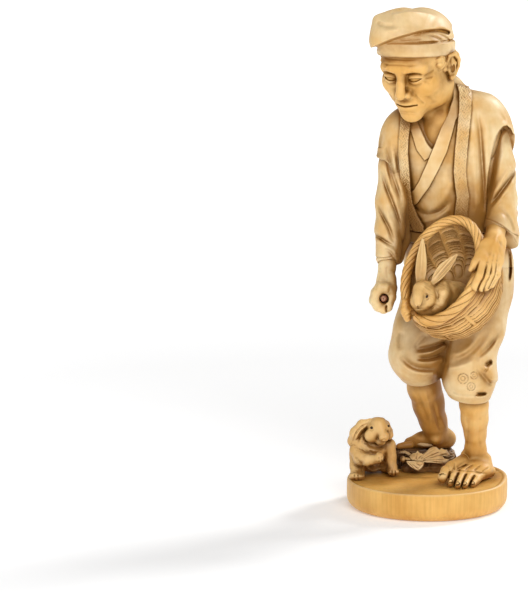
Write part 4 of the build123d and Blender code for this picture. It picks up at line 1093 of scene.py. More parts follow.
def head_cloth(p):
    q = head_local(p)
    lx, ly, lz = q[:, 0], q[:, 1], q[:, 2]
    u, v = proj(p)
    hgt = lz - (3.2 + 0.33 * ly)
    d = egg(q, (-0.4, -0.4, 4.6), (12.7, 15.9, 12.6))
    d = smin(d, egg(q, (-0.2, -4.0, 8.6), (10.0, 11.6, 9.6)), 4.0)
    fr = sstep(3.0, -2.0, p[:, 1] + 4.0)
    # band round the forehead and the tucks above it
    d = d - 0.9 * sstep(5.8, 4.8, hgt) * (1.0 - 0.3 * sstep(2.2, 0.4, hgt))
    d = d + 0.22 * np.exp(-(((hgt - 5.6) / 0.45) ** 2))
    d = d - 0.6 * sstep(10.2, 8.6, hgt) * sstep(5.2, 6.4, hgt)
    # the rolled front
    roll = chain(p, [P(378.4, 20.6, -16.4), P(379.4, 30, -17.8), P(379.4, 39.4, -19.5)], [1.7, 2.4, 2.5])
    roll = smin(roll, chain(p, [P(387, 23.4, -15.5), P(387, 36, -18.5)], [3.4, 4.4]), 2.4)
    roll = smin(roll, chain(p, [P(402, 25.5, -14.0), P(399, 31, -17.0)], [6.0, 6.0]), 4.0)
    d = smin(d, roll, 4.5)
    m = Marks(u, v, fr)
    m.fold([(452, 33), (446, 30.6), (435, 29.6), (420, 31.5), (405, 35.5), (392, 39.5), (376, 46)], 1.9, 18, (0.05, 0.0), 1.5, 0.25)
    m.cut([(450, 33.0), (443, 30.2), (434, 29.4)], 1.8, 1.1, (0.1, 0.5))
    m.fold([(390, 14.5), (402, 11.8), (414, 11.0), (428, 12.5), (437, 17)], 1.0, 10, (0.1, 0.2), 1.3, 0.2)
    m.cut([(398, 24), (390, 26), (382, 25), (376, 21)], 2.4, 0.5, (0.4, 0.2))
    m.swell([(402, 28), (392, 30.5), (383, 30)], 2.6, 0.5)
    m.cut([(424, 34), (434, 36.5), (443, 41)], 1.6, 0.6, (0.4, 0.2))
    m.swell([(428, 37.5), (437, 41), (446, 44)], 1.5, 0.4, (0.3, 0.2))
    m.cut([(436, 33), (444, 36.5), (450, 41)], 1.3, 0.5, (0.3, 0.2))
    m.cut([(395, 41), (410, 39.5), (424, 39)], 1.5, 0.35)
    d = d + m.d
    mb = Marks(lx, lz, 1 - fr)
    mb.cut([(-12, 3), (-4, 5.2), (5, 4.6), (13, 6.5)], 0.5, 0.6)
    mb.cut([(-10, 9), (-2, 8), (6, 10), (12, 9)], 0.7, 0.6)
    mb.cut([(-8, 15), (0, 12.5), (7, 14)], 0.8, 0.6)
    mb.swell([(-10, 6.8), (0, 6.6), (10, 8)], 0.9, 0.5)
    mb.swell([(-7, 11), (2, 10.4), (9, 12)], 1.0, 0.5)
    d = d + mb.d
    d = d + 0.10 * noise(p, 6.0, 23)
    d = smax(d, -hgt * 0.95, 0.9)
    inner = smin(egg(q, (0, -1.5, 4.0), (12.3, 15.1, 14.0)), egg(q, (0, -1.5, -2.0), (12.6, 14.6, 9.0)), 2.0)
    return smax(d, -inner, 0.3)


# ------------------------------------------------------------------ rabbits
def fur(p, dirn, s1=1.1, s2=4.0, seed=31):
    """Short strokes cut along a direction."""
    dirn = unit(dirn)
    a = unit(np.cross(dirn, [0.3, 0.2, 0.9]))
    b = np.cross(dirn, a)
    q = np.stack([p @ dirn.astype(F4) / s2, p @ a.astype(F4) / s1, p @ b.astype(F4) / s1], 1)
    n = noise(q, 1.0, seed)
    return np.abs(n)


def plinth_rabbit(p):
    z = p[:, 2]
    u, v = proj(p)
    d = egg(p, (-20.8, 9.4, 18.2), (6.6, 8.2, 7.8))
    d = smin(d, egg(p, P(371, 451, 2.6), (5.6, 5.0, 5.0)), 3.0)
    d = smin(d, egg(p, P(362, 442, 3.4), (4.2, 4.5, 5.0)), 2.0)
    hd = egg(p, P(377.5, 428.8, 0.6), (4.7, 4.8, 4.4))
    hd = smin(hd, ball(p, P(371.5, 435.5, -2.0), 2.6), 1.8)
    hd = smin(hd, chain(p, [P(379.0, 424, -2.2), P(383.5, 435, -4.4)], [2.5, 1.8]), 1.6)
    hd = smin(hd, ball(p, P(383.9, 436.6, -4.7), 1.9), 0.8)
    hd = smin(hd, ball(p, P(386.4, 428.4, -2.0), 1.5), 1.0)
    hd = smin(hd, ball(p, P(388.4, 434.6, 0.0), 1.9), 1.2)
    hd = smin(hd, ball(p, P(381.0, 441.6, -2.4), 1.7), 1.2)
    d = smin(d, hd, 1.0)
    ear = chain(p, [P(370.5, 421.5, -0.6), P(362.5, 425.5, -0.2), P(356.5, 433, 1.2), P(353.6, 441, 3.2), P(354.5, 448, 4.6)], [1.2, 2.1, 2.4, 2.1, 1.2], 1.0)
    d = smin(d, ear, 0.4)
    d = smin(d, chain(p, [P(366.5, 428.5, 1.6), P(362.5, 434, 3.0)], [2.2, 2.4]), 0.6)
    ear2 = chain(p, [P(382, 420.5, 2.0), P(386.0, 424.5, 4.6), P(388.6, 431, 7.0), P(389.5, 438, 9.5)], [1.1, 1.4, 1.5, 0.9], 0.5)
    d = smin(d, ear2, 0.5)
    # the raised forefoot, the other legs and the tail
    leg = chain(p, [P(357.5, 450, 1.4), P(361, 458, -1.6), P(369, 460.4, -4.4), P(377.6, 458.0, -6.6)], [3.0, 2.7, 2.2, 1.8], 1.0)
    d = smin(d, smin(leg, ball(p, P(379.0, 457.2, -7.0), 1.95), 0.4), 0.45)
    d = smin(d, chain(p, [P(387.5, 446, 3.4), P(389.5, 457, 3.8), P(391, 467, 3.4), P(393.2, 471.5, 2.0)], [3.2, 2.5, 2.1, 1.8], 1.0), 1.0)
    d = smin(d, egg(p, (-25.2, 7.4, 15.6), (3.2, 5.6, 5.4)), 1.2)
    d = smin(d, chain(p, [P(357.6, 454, 3.6), P(357.4, 466, 1.4), P(357, 474, -1.0)], [3.2, 2.7, 2.4], 1.0), 0.8)
    d = smin(d, egg(p, P(356.6, 476.0, -2.8), (3.0, 3.2, 1.7)), 0.8)
    d = smin(d, egg(p, (-15.6, 10.4, 14.4), (3.2, 5.6, 4.6)), 1.2)
    d = smin(d, egg(p, (-20.8, 16.6, 14.2), (2.8, 2.4, 2.6)), 0.8)
    d = smax(d, -egg(p, P(376.6, 469.2, -1.0), (4.5, 9.0, 3.5)), 1.0)
    for k in (-1, 0, 1):
        d = smin(d, ball(p, P(379.8 + 1.6 * k, 459.6 - 0.7 * abs(k), -8.3 + 0.3 * abs(k)), 0.85), 0.3)
        d = smin(d, ball(p, P(393.6 + 3.0 * k, 472.6 - 0.4 * abs(k), 0.8 + 0.6 * abs(k)), 1.0), 0.35)
        d = smin(d, ball(p, P(356.4 + 3.6 * k, 476.8, -4.8 + 0.7 * abs(k)), 1.15), 0.35)
    m = Marks(u, v, sstep(9, 4, p[:, 1]))
    # eye socket, ear with its grooves, nose and mouth, neck and chest
    m.cut([(368.4, 426.6), (370.6, 424.6), (374.0, 425.2), (375.6, 428.2)], 0.9, 0.16, (0.3, 0.3))
    m.cut([(368.6, 429.0), (371.8, 430.4), (375.0, 429.6)], 0.9, 0.14, (0.3, 0.3))
    m.cut([(368.6, 423.4), (361.5, 427.0), (356.0, 433.5), (353.4, 442)], 1.1, 0.50, (0.25, 0.3))
    m.cut([(370.5, 426.6), (364.5, 430.2), (359.6, 436.6), (357.0, 446.0)], 1.6, 0.60, (0.2, 0.35))
    m.cut([(382.2, 434.6), (383.9, 436.2), (386.0, 434.8)], 0.8, 0.18, (0.2, 0.2))
    m.cut([(383.9, 436.2), (383.7, 439.2), (380.6, 441.0)], 0.8, 0.20, (0.1, 0.3))
    m.cut([(383.7, 439.2), (386.8, 440.4)], 0.8, 0.16, (0, 0.3))
    m.cut([(378.0, 431.5), (377.8, 436.5), (376.0, 441.0)], 1.8, 0.26, (0.4, 0.3))
    m.cut([(384.6, 428.6), (386.4, 431.2), (389.0, 431.6)], 1.2, 0.24, (0.3, 0.3))
    m.cut([(365, 441.0), (371, 445.8), (378, 447.4), (387, 445.0)], 2.0, 0.55, (0.35, 0.3))
    m.cut([(369, 450.0), (373, 453.5), (378, 453.0)], 1.6, 0.5, (0.3, 0.3))
    m.cut([(384.6, 449), (385.0, 458), (385.0, 468)], 1.9, 0.5, (0.3, 0.2))
    m.cut([(364.8, 464.0), (360.0, 461.8), (354.6, 456.0)], 1.6, 0.5, (0.3, 0.3))
    for a in (378.9, 381.3):
        m.cut([(a, 456.4), (a + 0.3, 461.0)], 0.6, 0.3, (0.2, 0))
    for a in (392.0, 395.2):
        m.cut([(a, 470.2), (a, 475)], 0.6, 0.3, (0.2, 0))
    for a in (354.6, 358.2):
        m.cut([(a, 474.2), (a, 480)], 0.6, 0.3, (0.2, 0))
    d = d + m.d
    ring = np.sqrt(((p - P(380, 433, -3.0).astype(F4)) ** 2).sum(1))
    d = d + 0.13 * fur(p, (0.25, 0.75, -0.6), 0.9, 3.6) * sstep(3.0, 7.0, ring) - 0.04
    return np.maximum(d, 10.05 - z)


def skin(f, u, v, lo, hi, sink=0.2):
    """Where the line of sight at a pixel meets a field, a little below its surface."""
    ys = np.linspace(lo, hi, 400)
    q = np.array([P(u, v, y) for y in ys], F4)
    i = int(np.argmax(f(q) < 0))
    return P(u, v, ys[i] + sink)


EYES_A = [skin(plinth_rabbit, 372.0, 427.8, -10, 8), skin(plinth_rabbit, 388.4, 426.2, -10, 8)]


EYE_TILT = np.array([(0.88, 0, -0.48), (0, 1, 0), (0.48, 0, 0.88)])


def plinth_rabbit_eyes(p):
    return np.minimum(egg(p, EYES_A[0], (0.72, 0.6, 0.56)), egg(p, EYES_A[1], (0.55, 0.6, 0.5)))


def basket_rabbit_eyes(p):
    return np.minimum(egg(p, EYES_B[0], (0.46, 0.55, 0.66), EYE_TILT), egg(p, EYES_B[1], (0.55, 0.6, 0.75)))


def blade(p, a, b, side, w, t, cup, k0=0.5):
    """A long leaf- or ear-shaped sheet from a to b, hollowed towards `side` x axis normal."""
    a, b = np.asarray(a, float), np.asarray(b, float)
    L = np.linalg.norm(b - a)
    ax = (b - a) / L
    sd = unit(np.asarray(side) - (np.asarray(side) @ ax) * ax)
    n = np.cross(ax, sd)
    q = p - a.astype(F4)
    s, c, h = q @ ax.astype(F4) / L, q @ sd.astype(F4), q @ n.astype(F4)
    sc = np.clip(s, 0.0, 1.0)
    half = w * np.maximum(np.sin(np.pi * np.clip(sc, 0, 1) ** k0 * 0.96 + 0.06), 0.05)
    hh = h - cup * (c / w) ** 2
    e = np.sqrt(np.maximum(np.abs(c) - half, 0) ** 2 + np.maximum(np.abs(hh) - t * 0.3, 0) ** 2 + np.maximum(np.abs(s - 0.5) - 0.5, 0) ** 2 * L * L) - t * 0.7
    return e, sc, c / w, h


def basket_rabbit(p):
    u, v = proj(p)
    d = egg(p, P(424.0, 296.5, -29.6), (4.7, 4.7, 5.0))
    d = smin(d, ball(p, P(416.6, 302.2, -33.2), 2.3), 2.6)
    d = smin(d, ball(p, P(430.0, 300.5, -31.8), 2.5), 2.0)
    d = smin(d, ball(p, P(424.0, 288.4, -29.8), 3.0), 2.2)
    d = smin(d, ball(p, P(419.8, 307.6, -32.0), 1.9), 1.4)
    d = smin(d, chain(p, [P(420.5, 289, -32.2), P(418.4, 297, -35.0), P(417.8, 303, -36.0)], [2.7, 2.0, 1.35]), 1.0)
    d = smin(d, ball(p, P(425.2, 303.5, -32.6), 2.2), 1.6)
    body = chain(p, [P(436, 297, -27.6), (6.6, -23.4, 83.4), (10.4, -18.8, 83.0)], [4.2, 5.2, 4.8], 1.5)
    body = smin(body, chain(p, [P(423, 311, -30.5), P(434, 308, -29.5), P(446, 301, -26.0)], [2.6, 3.3, 3.0]), 1.5)
    d = smin(d, body, 0.8)
    d = smin(d, chain(p, [P(440, 287, -26.6), P(442, 295, -28.8), P(440, 303.5, -30.4), P(435, 308, -31.6)], [3.2, 3.2, 2.6, 1.7], 1.0), 1.2)
    e1, s1, c1, h1 = blade(p, P(420.0, 287, -29.6), P(422.6, 239.5, -21.0), AXR, 1.55, 0.72, -0.5, 0.7)
    e1 = e1 + 0.26 * np.exp(-((c1 / 0.4) ** 2)) * sstep(0.2, 0.4, s1) * (h1 < 3)
    e2, s2, c2, h2 = blade(p, P(431.0, 285.5, -29.4), P(457.5, 254.5, -26.4), np.cross(BN, [0.7, 0.1, 0.7]), 1.65, 0.6, 0.75, 0.9)
    e2 = e2 + (0.34 * np.exp(-((c2 / 0.55) ** 2)) + 0.07 * np.cos(c2 * 13) * (np.abs(c2) < 0.8)) * sstep(0.12, 0.35, s2)
    d = smin(d, e1, 0.8)
    d = smin(d, e2, 0.8)
    m = Marks(u, v, sstep(-24, -27, p[:, 1]))
    m.cut([(425.2, 288.6), (423.8, 294.0), (421.8, 299.0), (420.4, 303.4)], 1.6, 0.24, (0.45, 0.45))
    m.cut([(424.6, 294.6), (426.8, 294.2), (428.8, 296.4)], 0.8, 0.24, (0.4, 0.4))
    m.cut([(425.0, 299.0), (427.2, 299.4), (429.0, 297.6)], 0.8, 0.22, (0.4, 0.4))
    m.cut([(415.2, 303.4), (417.8, 305.2), (420.4, 303.6)], 0.7, 0.24, (0.35, 0.35))
    m.cut([(417.8, 305.2), (418.2, 307.0), (418.4, 309.0)], 0.7, 0.26, (0.2, 0.4))
    m.cut([(413.6, 309.4), (418.2, 308.2), (424.6, 308.8)], 0.8, 0.22, (0.4, 0.4))
    m.cut([(425, 307), (431, 308), (436, 303)], 1.4, 0.28, (0.45, 0.45))
    m.cut([(436.0, 288), (437.4, 296), (434.5, 304)], 1.8, 0.30, (0.45, 0.45))
    d = d + m.d
    ring = np.sqrt(((p - P(419, 300, -33).astype(F4)) ** 2).sum(1))
    d = d + 0.12 * fur(p, (0.5, 0.5, -0.5), 0.9, 3.4, 33) * sstep(3.0, 5.0, ring) * (np.minimum(e1, e2) > 0.4)
    return d


EYES_B = [skin(basket_rabbit, 426.7, 296.7, -40, -25, 0.12), P(412.6, 293.5, -30.2)]


# ------------------------------------------------------------------ mound and leaves
def ground_mound(p):
    x, y, z = p[:, 0], p[:, 1], p[:, 2]
    u, v = proj(p)
    d = egg(p, (-1.6, 19.6, 12.6), (11.0, 6.6, 7.4))
    # a ribbed log at the back and the ground below the heel
    d = smin(d, chain(p, [(-12.2, 15.8, 16.6), (-4.0, 14.8, 16.4), (6.0, 15.6, 15.6)], [2.3, 2.3, 2.0]), 1.2)
    d = smin(d, egg(p, (6.8, 18.0, 13.0), (4.2, 5.0, 5.6)), 1.5)
    d = smin(d, chain(p, [(-11.4, 19.6, 16.8), (-2.0, 21.5, 17.0)], [1.9, 1.8]), 1.2)
    ridge = np.abs(noise(np.stack([x / 7.0, y / 1.3, z / 0.9], 1), 1.0, 41))
    d = d + 0.85 * ridge + 0.4 * np.abs(noise(p, 2.6, 42)) - 0.5
    band = np.abs(((x + 12.4) / 0.95) % 1.0 - 0.5)
    d = d + 0.30 * sstep(0.28, 0.5, band) * sstep(-6.0, -8.0, x)
    d = smax(d, -13.6 - x, 0.3)
    d = smax(d, z - 18.5, 0.5)
    return np.maximum(d, 10.0 - z)


LEAF_A = [(405.8, 461.0), (412, 460.8), (420, 461.4), (424.6, 462.4), (423.4, 465.8), (421.2, 468.8), (418.6, 471.0), (415.2, 469.8), (411.0, 467.2), (408.0, 464.6)]
LEAF_B = [(409, 456.6), (412.5, 453.4), (416.0, 452.6), (417.6, 450.4), (419.6, 452.8), (423, 453.8), (426.4, 451.4), (429.4, 448.4), (432.6, 446.6), (436.2, 446.8), (439.2, 449.6), (441.4, 448.0), (444.2, 449.6), (447.0, 449.8), (448.4, 452.4), (450.4, 454.6), (447.0, 456.6), (442.6, 455.8), (444.6, 458.4), (449.6, 459.6), (447.6, 462.2), (441.8, 463.6), (433, 462.8), (424, 462.4), (412, 460.6)]
LEAF_C = [(398.2, 453.2), (400.4, 451.2), (405.0, 450.4), (409.4, 452.4), (413.0, 455.6), (412.0, 457.6), (408.6, 455.4), (404.4, 453.4), (400.6, 453.6)]
LEAF_D = [(416.4, 444.4), (420.6, 442.6), (426.0, 443.0), (431.0, 444.0), (433.6, 446.0), (428.0, 446.8), (421.4, 446.2)]


def leaf_spray(p):
    x, y, z = p[:, 0], p[:, 1], p[:, 2]
    u, v = proj(p)
    # stalk and its cut knob
    d = chain(p, [P(402.8, 459.4, 6.6), P(408, 459.8, 6.8), P(418, 458.6, 7.0), P(430, 456, 8.0)], [1.0, 0.75, 0.8, 0.6], 0.4)
    d = smin(d, ball(p, P(402.8, 459.2, 6.4), 1.2), 0.3)
    # veins and rolled edges of the four leaves
    m = Marks(u, v)
    for a, b in (((419, 458.5), (429, 449.6)), ((421, 458.8), (435.6, 448.4)), ((424, 459.0), (443.6, 451.0)), ((426, 459.4), (449, 454.0)), ((424, 460.4), (447.6, 460.6)), ((424, 461.2), (440, 462.6)), ((416, 458.8), (417.6, 452.0))):
        m.cut([a, ((a[0] + b[0]) / 2, (a[1] + b[1]) / 2 - 0.5), b], 0.6, 0.42, (0.0, 0.25))
    for a, b in (((409, 461.6), (418.2, 469.6)), ((412, 461.4), (421.4, 467.0)), ((407.4, 462.0), (413.4, 467.6))):
        m.cut([a, b], 0.6, 0.36, (0.1, 0.25))
    m.swell([(416, 463.0), (421, 463.6), (423.2, 464.6), (420.4, 468.6), (418.4, 470.4)], 0.9, 0.45, (0.1, 0.1))
    for c, w, h in (((433, 452.5), 3.2, 0.9), ((443.5, 452.6), 2.6, 0.8), ((437, 459.0), 3.4, 0.7), ((424.5, 456.6), 2.6, 0.6), ((416, 455.6), 2.2, 0.6)):
        m.swell([c, (c[0] + 0.6, c[1] + 0.3), (c[0] + 1.2, c[1] + 0.4)], w, h, (0, 0))
    lump = m.d
    for poly, y0, top, slope, bow, t in ((LEAF_A, 5.4, 461.0, 0.16, 0.30, 0.75), (LEAF_B, 8.6, 448.0, 0.20, 0.25, 0.85), (LEAF_C, 9.4, 451.0, 0.25, 0.2, 0.7), (LEAF_D, 12.0, 443.0, 0.15, 0.2, 0.8)):
        e = inside(u, v, poly)
        mid = y0 - slope * (v - top) + bow * np.clip(e + 3.0, 0, 3.0) * 0.5
        e = np.maximum(np.abs(e + 0.0) * 0 + e * PX, np.abs(y - mid) - t + lump * 0.6)
        d = np.minimum(d, smax(e, -9.0 + 0 * e, 0.2))
    ground = smin(egg(p, (-4.6, 11.6, 11.2), (5.4, 2.4, 2.6)), egg(p, (4.0, 12.4, 11.6), (5.6, 2.2, 3.0)), 0.8)
    d = smin(d, ground + 0.35 * np.abs(noise(p, 1.4, 44)), 0.4)
    d = d + 0.08 * np.abs(noise(p, 1.2, 45))
    return np.maximum(d, 10.05 - z)


# ------------------------------------------------------------------ build every carved piece
JOBS = [
    # piece, field, low corner, high corner, cell, record slot
    ("torso", torso, (-23, -17, 88.5), (34, 27, 166), 0.29, "ivory"),
    ("trousers", trousers, (-19, -18, 37.5), (34, 27, 95.5), 0.30, "ivory"),
    ("head_cloth", head_cloth, (-30, -33, 160), (19, 17, 193), 0.25, "ivory"),
    ("head", head, (-27, -29, 133), (17, 15, 188), 0.21, "ivory"),
    ("basket_body", basket_body, (-20, -44, 60), (34, 0, 118), 0.20, "ivory"),
    ("right_sleeve", right_sleeve, (-24, -20, 84), (-1, 17, 148), 0.24, "ivory"),
    ("left_sleeve", left_sleeve, (14, -20, 92), (37, 19, 148), 0.24, "ivory"),
    ("left_leg", left_leg, (0, -22, 9), (27, 17, 52), 0.20, "ivory"),
    ("right_leg", right_leg, (-15, 0, 17), (14, 27, 57), 0.22, "ivory"),
    ("plinth_rabbit", plinth_rabbit, (-32, -13, 9), (-6, 22, 36), 0.19, "ivory"),
    ("basket_rim", basket_rim, (-17, -46, 68), (27, -6, 118), 0.17, "ivory"),
    ("basket_rabbit", basket_rabbit, (-10, -40, 75), (18, -11, 107), 0.17, "ivory"),
    ("ground_mound", ground_mound, (-15, 9, 9), (14, 29, 21), 0.20, "stained_ivory"),
    ("left_hand", left_hand, (10, -37, 79), (33, -3, 110), 0.16, "ivory"),
    ("right_hand", right_hand, (-26, -30, 66), (-7, -6, 104), 0.17, "ivory"),
    ("leaf_spray", leaf_spray, (-15, 1, 9), (14, 16, 23), 0.16, "stained_ivory"),
    ("held_stick_stub", held_stick_stub, (-21, -28, 75), (-10, -14, 89), 0.12, "stub"),
    ("plinth_rabbit_eyes", plinth_rabbit_eyes, (-24, -7, 25), (-10, 2, 34), 0.09, "eye_inlay"),
    ("basket_rabbit_eyes", basket_rabbit_eyes, (-9, -38, 82), (3, -26, 90), 0.09, "eye_inlay"),
]


def plinth_field(p):
    r = np.hypot(p[:, 0], p[:, 1])
    return np.maximum(np.maximum(r - 30.0, p[:, 2] - 10.05), -p[:, 2])


def plinth_mesh():
    """Turned disc with a soft foot, a lip (made brighter later by a painted highlight) and a shallow dish scraped by
    hand.
    """
    prof = [(0.0, 0.0), (20.0, 0.0), (25.8, 0.0), (27.0, 0.12), (28.0, 0.5), (28.8, 1.15), (29.4, 2.0), (29.8, 2.9), (29.95, 3.8)]
    prof += [(29.95 + 0.05 * math.sin(math.pi * k / 12), 3.8 + 5.7 * k / 12) for k in range(1, 12)]
    prof += [(29.94, 9.6), (29.88, 9.95), (29.72, 10.25), (29.45, 10.43), (29.15, 10.48), (28.85, 10.42), (28.6, 10.28), (28.3, 10.14), (27.8, 10.06)]
    prof += [(27.0 - k * 0.75, 10.02) for k in range(36)]
    seg = 540
    th = np.linspace(0, 2 * np.pi, seg, endpoint=False)
    rows = []
    for r, z in prof[1:]:
        x, y = r * np.cos(th), r * np.sin(th)
        p = np.stack([x, y, np.full(seg, z)], 1).astype(F4)
        k = 0.10 * noise(p, 9.0, 51) + 0.05 * noise(p, 2.5, 52) if 1.0 < z < 10.2 and r > 29 else 0.04 * noise(p, 6.0, 53)
        s = 1.0 + k / max(r, 1.0)
        top = (z > 10.01) & (r < 28.5)
        dz = np.zeros(seg)
        if z >= 10.0 and r < 28.5:
            q = np.stack([x / 9.0, y / 1.5, np.zeros(seg)], 1).astype(F4)
            dz = 0.06 * noise(q, 1.0, 54) - 0.02 * (1 - (r / 28.5) ** 2)
        lift = 1.3 * sstep(12.0, 28.0, x) * sstep(-16.0, 2.0, y) * sstep(24.0, 28.3, r) * min(z / 10.0, 1.0) ** 2
        rows.append(np.stack([x * s, y * s, z + dz + lift], 1))
    n = len(rows)
    v = np.vstack(rows + [np.array([[0, 0, 0.0], [0, 0, 10.0]])])
    i = np.arange(seg)
    j = (i + 1) % seg
    q = [np.stack([a * seg + i, a * seg + j, (a + 1) * seg + j, (a + 1) * seg + i], 1) for a in range(n - 1)]
    tri = [np.stack([np.full(seg, n * seg), j, i], 1), np.stack([np.full(seg, n * seg + 1), (n - 1) * seg + i, (n - 1) * seg + j], 1)]
    return v, np.vstack(q), np.vstack(tri)


from concurrent.futures import ThreadPoolExecutor

with ThreadPoolExecutor(4) as pool:
    list(pool.map(lambda j: sculpt(*j[:5]), JOBS))
BUILT.sort(key=lambda b: b["name"])

# ------------------------------------------------------------------ how deep each spot lies, for the painted shade and paler edges
GH = 1.2
GLO = np.array([-36.0, -48.0, -2.0])
GN = np.ceil((np.array([40.0, 34.0, 194.0]) - GLO) / GH).astype(int) + 1
GRID = np.full(GN, 12.0, F4)


def splat(name):
    f, lo, hi = FIELDS[name]
    a = np.maximum(np.floor((lo - 8 - GLO) / GH), 0).astype(int)
    b = np.minimum(np.ceil((hi + 8 - GLO) / GH) + 1, GN).astype(int)
    ax = [GLO[k] + np.arange(a[k], b[k]) * GH for k in range(3)]
    g = np.stack(np.meshgrid(*ax, indexing="ij"), -1).reshape(-1, 3).astype(F4)
    return a, b, np.concatenate([f(g[i : i + 200000]) for i in range(0, len(g), 200000)]).reshape(b - a)


FIELDS["plinth"] = (plinth_field, np.array([-30.0, -30, 0]), np.array([30.0, 30, 10.5]))
with ThreadPoolExecutor(4) as pool:
    for a, b, val in pool.map(splat, sorted(FIELDS)):
        s = tuple(slice(x, y) for x, y in zip(a, b))
        GRID[s] = np.minimum(GRID[s], val)


def sample(p):
    q = (p - GLO) / GH
    i = np.clip(np.floor(q).astype(int), 0, GN - 2)
    f = np.clip(q - i, 0, 1)
    out = 0.0
    for dx in (0, 1):
        for dy in (0, 1):
            for dz in (0, 1):
                w = (f[:, 0] if dx else 1 - f[:, 0]) * (f[:, 1] if dy else 1 - f[:, 1]) * (f[:, 2] if dz else 1 - f[:, 2])
                out = out + w * GRID[i[:, 0] + dx, i[:, 1] + dy, i[:, 2] + dz]
    return out


SHADE_AND_TONE_PATCHES = [
    # darker patches painted into the colour, mostly painted shade under and between parts (beneath the cuff, under the
    # basket and sleeves, on the foot under the leaves); a negative strength lightens: centre, reach, strength
    ((-3.0, -11.0, 63.0), 9.0, 0.30), ((3.0, -8.0, 55.0), 9.0, 0.30), ((0.0, 6.0, 38.0), 10.0, 0.34), ((2.0, 9.0, 29.0), 8.0, 0.25),
    ((19.5, -9.0, 120.0), 7.0, 0.26), ((19.8, -9.0, 110.0), 7.0, 0.30), ((-9.0, -6.0, 108.0), 6.5, 0.45), ((-8.5, -9.0, 97.0), 6.5, 0.45), ((-3.0, -8.0, 98.0), 6.0, 0.35), ((12.0, -9.0, 101.0), 6.0, 0.25),
    ((8.0, -36.0, 74.0), 9.0, 0.16), ((20.0, -27.0, 80.0), 8.0, 0.16), ((9.0, -18.0, 97.0), 11.0, -0.30), ((4.0, -8.0, 146.0), 6.0, 0.22),
    ((-7.5, 15.0, 20.0), 4.5, 0.55), ((25.0, -12.5, 107.5), 4.0, 0.35), ((24.0, -8.0, 72.0), 13.0, 0.17), ((20.6, -11.5, 50.6), 3.6, 0.30), ((28.0, 0.0, 84.0), 9.0, 0.16), ((12.0, -2.0, 155.0), 3.5, 0.20), ((-14.0, -22.0, 175.5), 6.0, 0.26), ((-5.5, -23.0, 175.5), 6.0, 0.28), ((3.0, -20.0, 175.0), 6.0, 0.26), ((-9.5, -4.5, 94.0), 4.0, 0.30),
]


def depths(b):
    """Fine cuts, broad hollows and convex edges at each vertex, all 0 to 1: the painted shade (with stain in the cuts)
    and the paler edges, partly wear and partly painted highlight.
    """
    v, f = b["v"].astype(F4), b.get("f")
    if f is not None:
        n = grad(f, v)
        n /= np.maximum(np.linalg.norm(n, axis=1, keepdims=True), 1e-6)
    else:
        n = b["n"].astype(F4)
    fine = np.zeros(len(v))
    edge = np.zeros(len(v))
    if f is not None:
        # shade of the piece's own small cuts: painted shade, partly the stain held in them
        for r, w in ((0.35, 0.3), (0.8, 0.4), (1.6, 0.3)):
            fine += w * np.clip(1.0 - f(v + n * r) / r, 0, 1.2)
        # convex edges: paler, partly wear and partly painted highlight
        for r, w in ((0.4, 0.35), (0.9, 0.35), (2.4, 0.18), (5.0, 0.16)):
            edge += w * np.clip(1.0 + f(v - n * r) / r, 0, 1)
    broad = np.zeros(len(v))
    # occlusion by every piece and the plinth: painted shade in hollows, under things and between parts
    for r, w in ((1.6, 0.20), (3.2, 0.28), (6.5, 0.30), (11.0, 0.30)):
        broad += w * np.clip(1.0 - sample(v + n * r) / r, 0, 1.1)
    # patches of painted shade and darker tone on top
    for c, r, a in SHADE_AND_TONE_PATCHES:
        broad += a * np.exp(-((v - np.asarray(c, F4)) ** 2).sum(1) / r**2)
    b["fine"], b["broad"], b["edge"], b["n"] = fine, broad, edge, n
    return b


# ------------------------------------------------------------------ materials
def node(t, kind, **kw):
    n = t.nodes.new(kind)
    for k, v in kw.items():
        if k == "inputs":
            for a, b in v.items():
                n.inputs[a].default_value = b
        else:
            setattr(n, k, v)
    return n


def ramp(t, stops):
    n = t.nodes.new("ShaderNodeValToRGB")
    e = n.color_ramp.elements
    while len(e) > 1:
        e.remove(e[-1])
    e[0].position, e[0].color = stops[0][0], (*stops[0][1], 1)
    for pos, col in stops[1:]:
        x = e.new(pos)
        x.color = (*col, 1)
    return n


def srgb(*c):
    return tuple(((x / 255) / 12.92 if x / 255 <= 0.04045 else ((x / 255 + 0.055) / 1.055) ** 2.4) for x in c)


